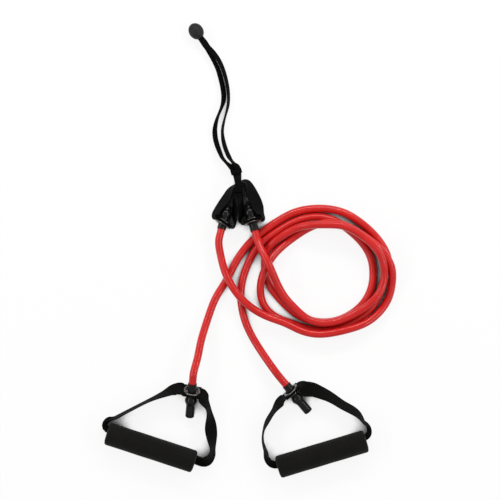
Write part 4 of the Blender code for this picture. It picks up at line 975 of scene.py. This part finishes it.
# Both runs, typed from edges that a program measured in the photograph, as (y, x, width seen from above,
# least height, and the lean in degrees where no width shows it)
UPPER_RUN = [
    (117.6, 0.9, 9.0, 12.55, 10), (120.6, -0.7, 9.0, 12.4, 26), (122.9, -2.9, 9.0, 12.0, 46),
    (126.3, -6.1, 9.0, 11.2, 62), (130.5, -9.4, 5.8, 9.9, None), (134.8, -11.95, 7.0, 8.5, None),
    (139.2, -14.0, 7.1, 7.3, None), (147.9, -17.3, 7.0, 5.6, None), (156.6, -19.7, 6.7, 0, None),
    (165.3, -21.05, 5.5, 0, None), (174.0, -21.25, 4.7, 0, None), (182.7, -19.8, 4.1, 0, None),
    (191.4, -17.65, 3.3, 0, None), (200.1, -15.25, 3.7, 0, None), (208.8, -13.3, 4.7, 0, None),
    (217.5, -12.45, 4.9, 0, None), (226.5, -12.75, 5.4, 0, None), (235.0, -13.7, 5.8, 0, None),
    (244.0, -15.4, 6.0, 0, None), (253.0, -17.7, 6.3, 0, None), (262.0, -20.6, 6.6, 4.5, None),
    (271.0, -24.5, 6.9, 5.6, None), (280.0, -30.0, 7.4, 7.3, None), (288.0, -37.0, 8.2, 9.2, None),
    (295.0, -43.6, 8.7, 10.6, None), (300.5, -47.7, 9.0, 11.3, 2), (305.0, -51.5, 9.0, 11.6, 0),
]
LOWER_RUN = [
    (117.6, -6.5, 9.0, 11.05, 11), (120.2, -8.8, 9.0, 10.8, 24), (122.6, -11.7, 9.0, 10.2, 46),
    (126.1, -15.6, 5.3, 9.0, None), (130.5, -19.55, 5.6, 7.8, None), (134.8, -22.4, 6.3, 6.6, None),
    (139.2, -24.35, 6.9, 5.6, None), (147.9, -27.8, 7.7, 4.5, None), (156.6, -30.5, 7.9, 3.8, None),
    (165.3, -32.1, 8.0, 0, None), (174.0, -32.35, 7.4, 0, None), (182.7, -31.0, 6.3, 0, None),
    (191.4, -28.55, 4.9, 0, None), (200.1, -25.15, 4.3, 0, None), (208.8, -21.8, 5.6, 0, None),
    (217.5, -19.8, 7.3, 0, None), (226.5, -19.8, 7.6, 0, None), (235.0, -20.85, 7.8, 0, None),
    (244.0, -22.75, 7.7, 0, None), (253.0, -25.1, 7.6, 0, None), (262.0, -28.1, 7.2, 0, None),
    (271.0, -32.2, 7.0, 0, None), (280.0, -36.8, 7.2, 4.6, None), (288.0, -41.0, 8.0, 6.3, None),
    (295.0, -45.2, 8.6, 7.8, None), (300.1, -48.4, 9.0, 8.8, 2), (305.0, -51.5, 9.0, 9.2, 0),
]


def lean_for(width):
    """Lean from flat, in radians, at which the strap looks this wide from above."""
    leans = np.radians(np.linspace(8, 82, 400))
    seen = ANCHOR_WIDTH * np.cos(leans) + ANCHOR_THICKNESS * np.sin(leans)
    return float(np.interp(-width, -seen, leans)) if width < ANCHOR_WIDTH else 0.0


def run(table):
    """Rows of a run of the strap: it leans to its right, and rests on the table where it is free."""
    ahead = np.gradient(np.array([(x, y) for y, x, *_ in table]), axis=0)
    rows = []
    for (y, x, width, height, lean), (east, north) in zip(table, ahead):
        lean = lean_for(width) if lean is None else math.radians(lean)
        z = max(height, ANCHOR_WIDTH / 2 * math.sin(lean) + ANCHOR_THICKNESS / 2 * math.cos(lean) + 0.15)
        level = math.cos(lean) / math.hypot(east, north)
        rows.append((x, y, z, -north * level, east * level, math.sin(lean)))
    return rows


BALL_MIDDLE = np.array([-59.4, 316.4, 10.4])
BALL_WAY = heading(124.8, 0)
bight = [(*(BALL_MIDDLE + BALL_WAY * (0.5 + 1.2 * math.cos(a)) + UP * 1.2 * math.sin(a)),
          -BALL_WAY[1], BALL_WAY[0], 0.0) for a in np.linspace(math.pi / 2, -math.pi / 2, 5)]
piece("anchor_long_strap",
      strap(run(UPPER_RUN) + bight + run(LOWER_RUN)[::-1], ANCHOR_WIDTH, ANCHOR_THICKNESS, 1.1, steps=9),
      narrow_webbing, "door_anchor", "black_webbing", "anchor_strap")

rubber, tree, shader, place = finish_of("moulded_rubber", Roughness=0.6, IOR=1.5, Specular_IOR_Level=0.3)
clouds = amount_of(tree, mottle, place, 120.0)
grain = amount_of(tree, mottle, place, 1400.0)
dust = amount_of(tree, specks, place, 500.0, Size=0.10)
black = between(tree, clouds, (0.0070, 0.0070, 0.0070), (0.0120, 0.0115, 0.0110))
black = between(tree, calculate(tree, "MULTIPLY", dust, 0.15), black, (0.14, 0.13, 0.12))
dress(tree, shader, black, to_range(tree, clouds, 0.50, 0.68), grain, 0.25, 0.0001)

outline = [(10.4 * math.sin(a), -12.4 * math.cos(a)) for a in np.linspace(0, math.pi, 41)]
outline[0], outline[-1] = (0, -12.4), (0, 12.4)
bm = turned(outline, Matrix.Identity(4), 64)
for vert in bm.verts:
    if abs(vert.co.y) < 0.0001 and vert.co.xy.length > 0.001:
        vert.co.xy *= 1 + 0.00018 / vert.co.xy.length
bmesh.ops.transform(bm, matrix=placed(BALL_MIDDLE, BALL_WAY), verts=bm.verts)
ball = piece("rubber_ball", bm, rubber, "door_anchor", "black_rubber", "anchor_ball", sharp=50)

bm = bmesh.new()
bmesh.ops.create_cube(bm, size=1.0)
bmesh.ops.scale(bm, vec=(0.0096, 0.0042, 0.019), verts=bm.verts)
side = np.cross(UP, BALL_WAY)
turn = Matrix([side, UP, np.cross(side, UP)]).transposed().to_4x4()
middle = Vector((BALL_MIDDLE - BALL_WAY * 6.9) * MM)
bmesh.ops.transform(bm, matrix=Matrix.Translation(middle) @ turn, verts=bm.verts)
cut_out(ball, bm)
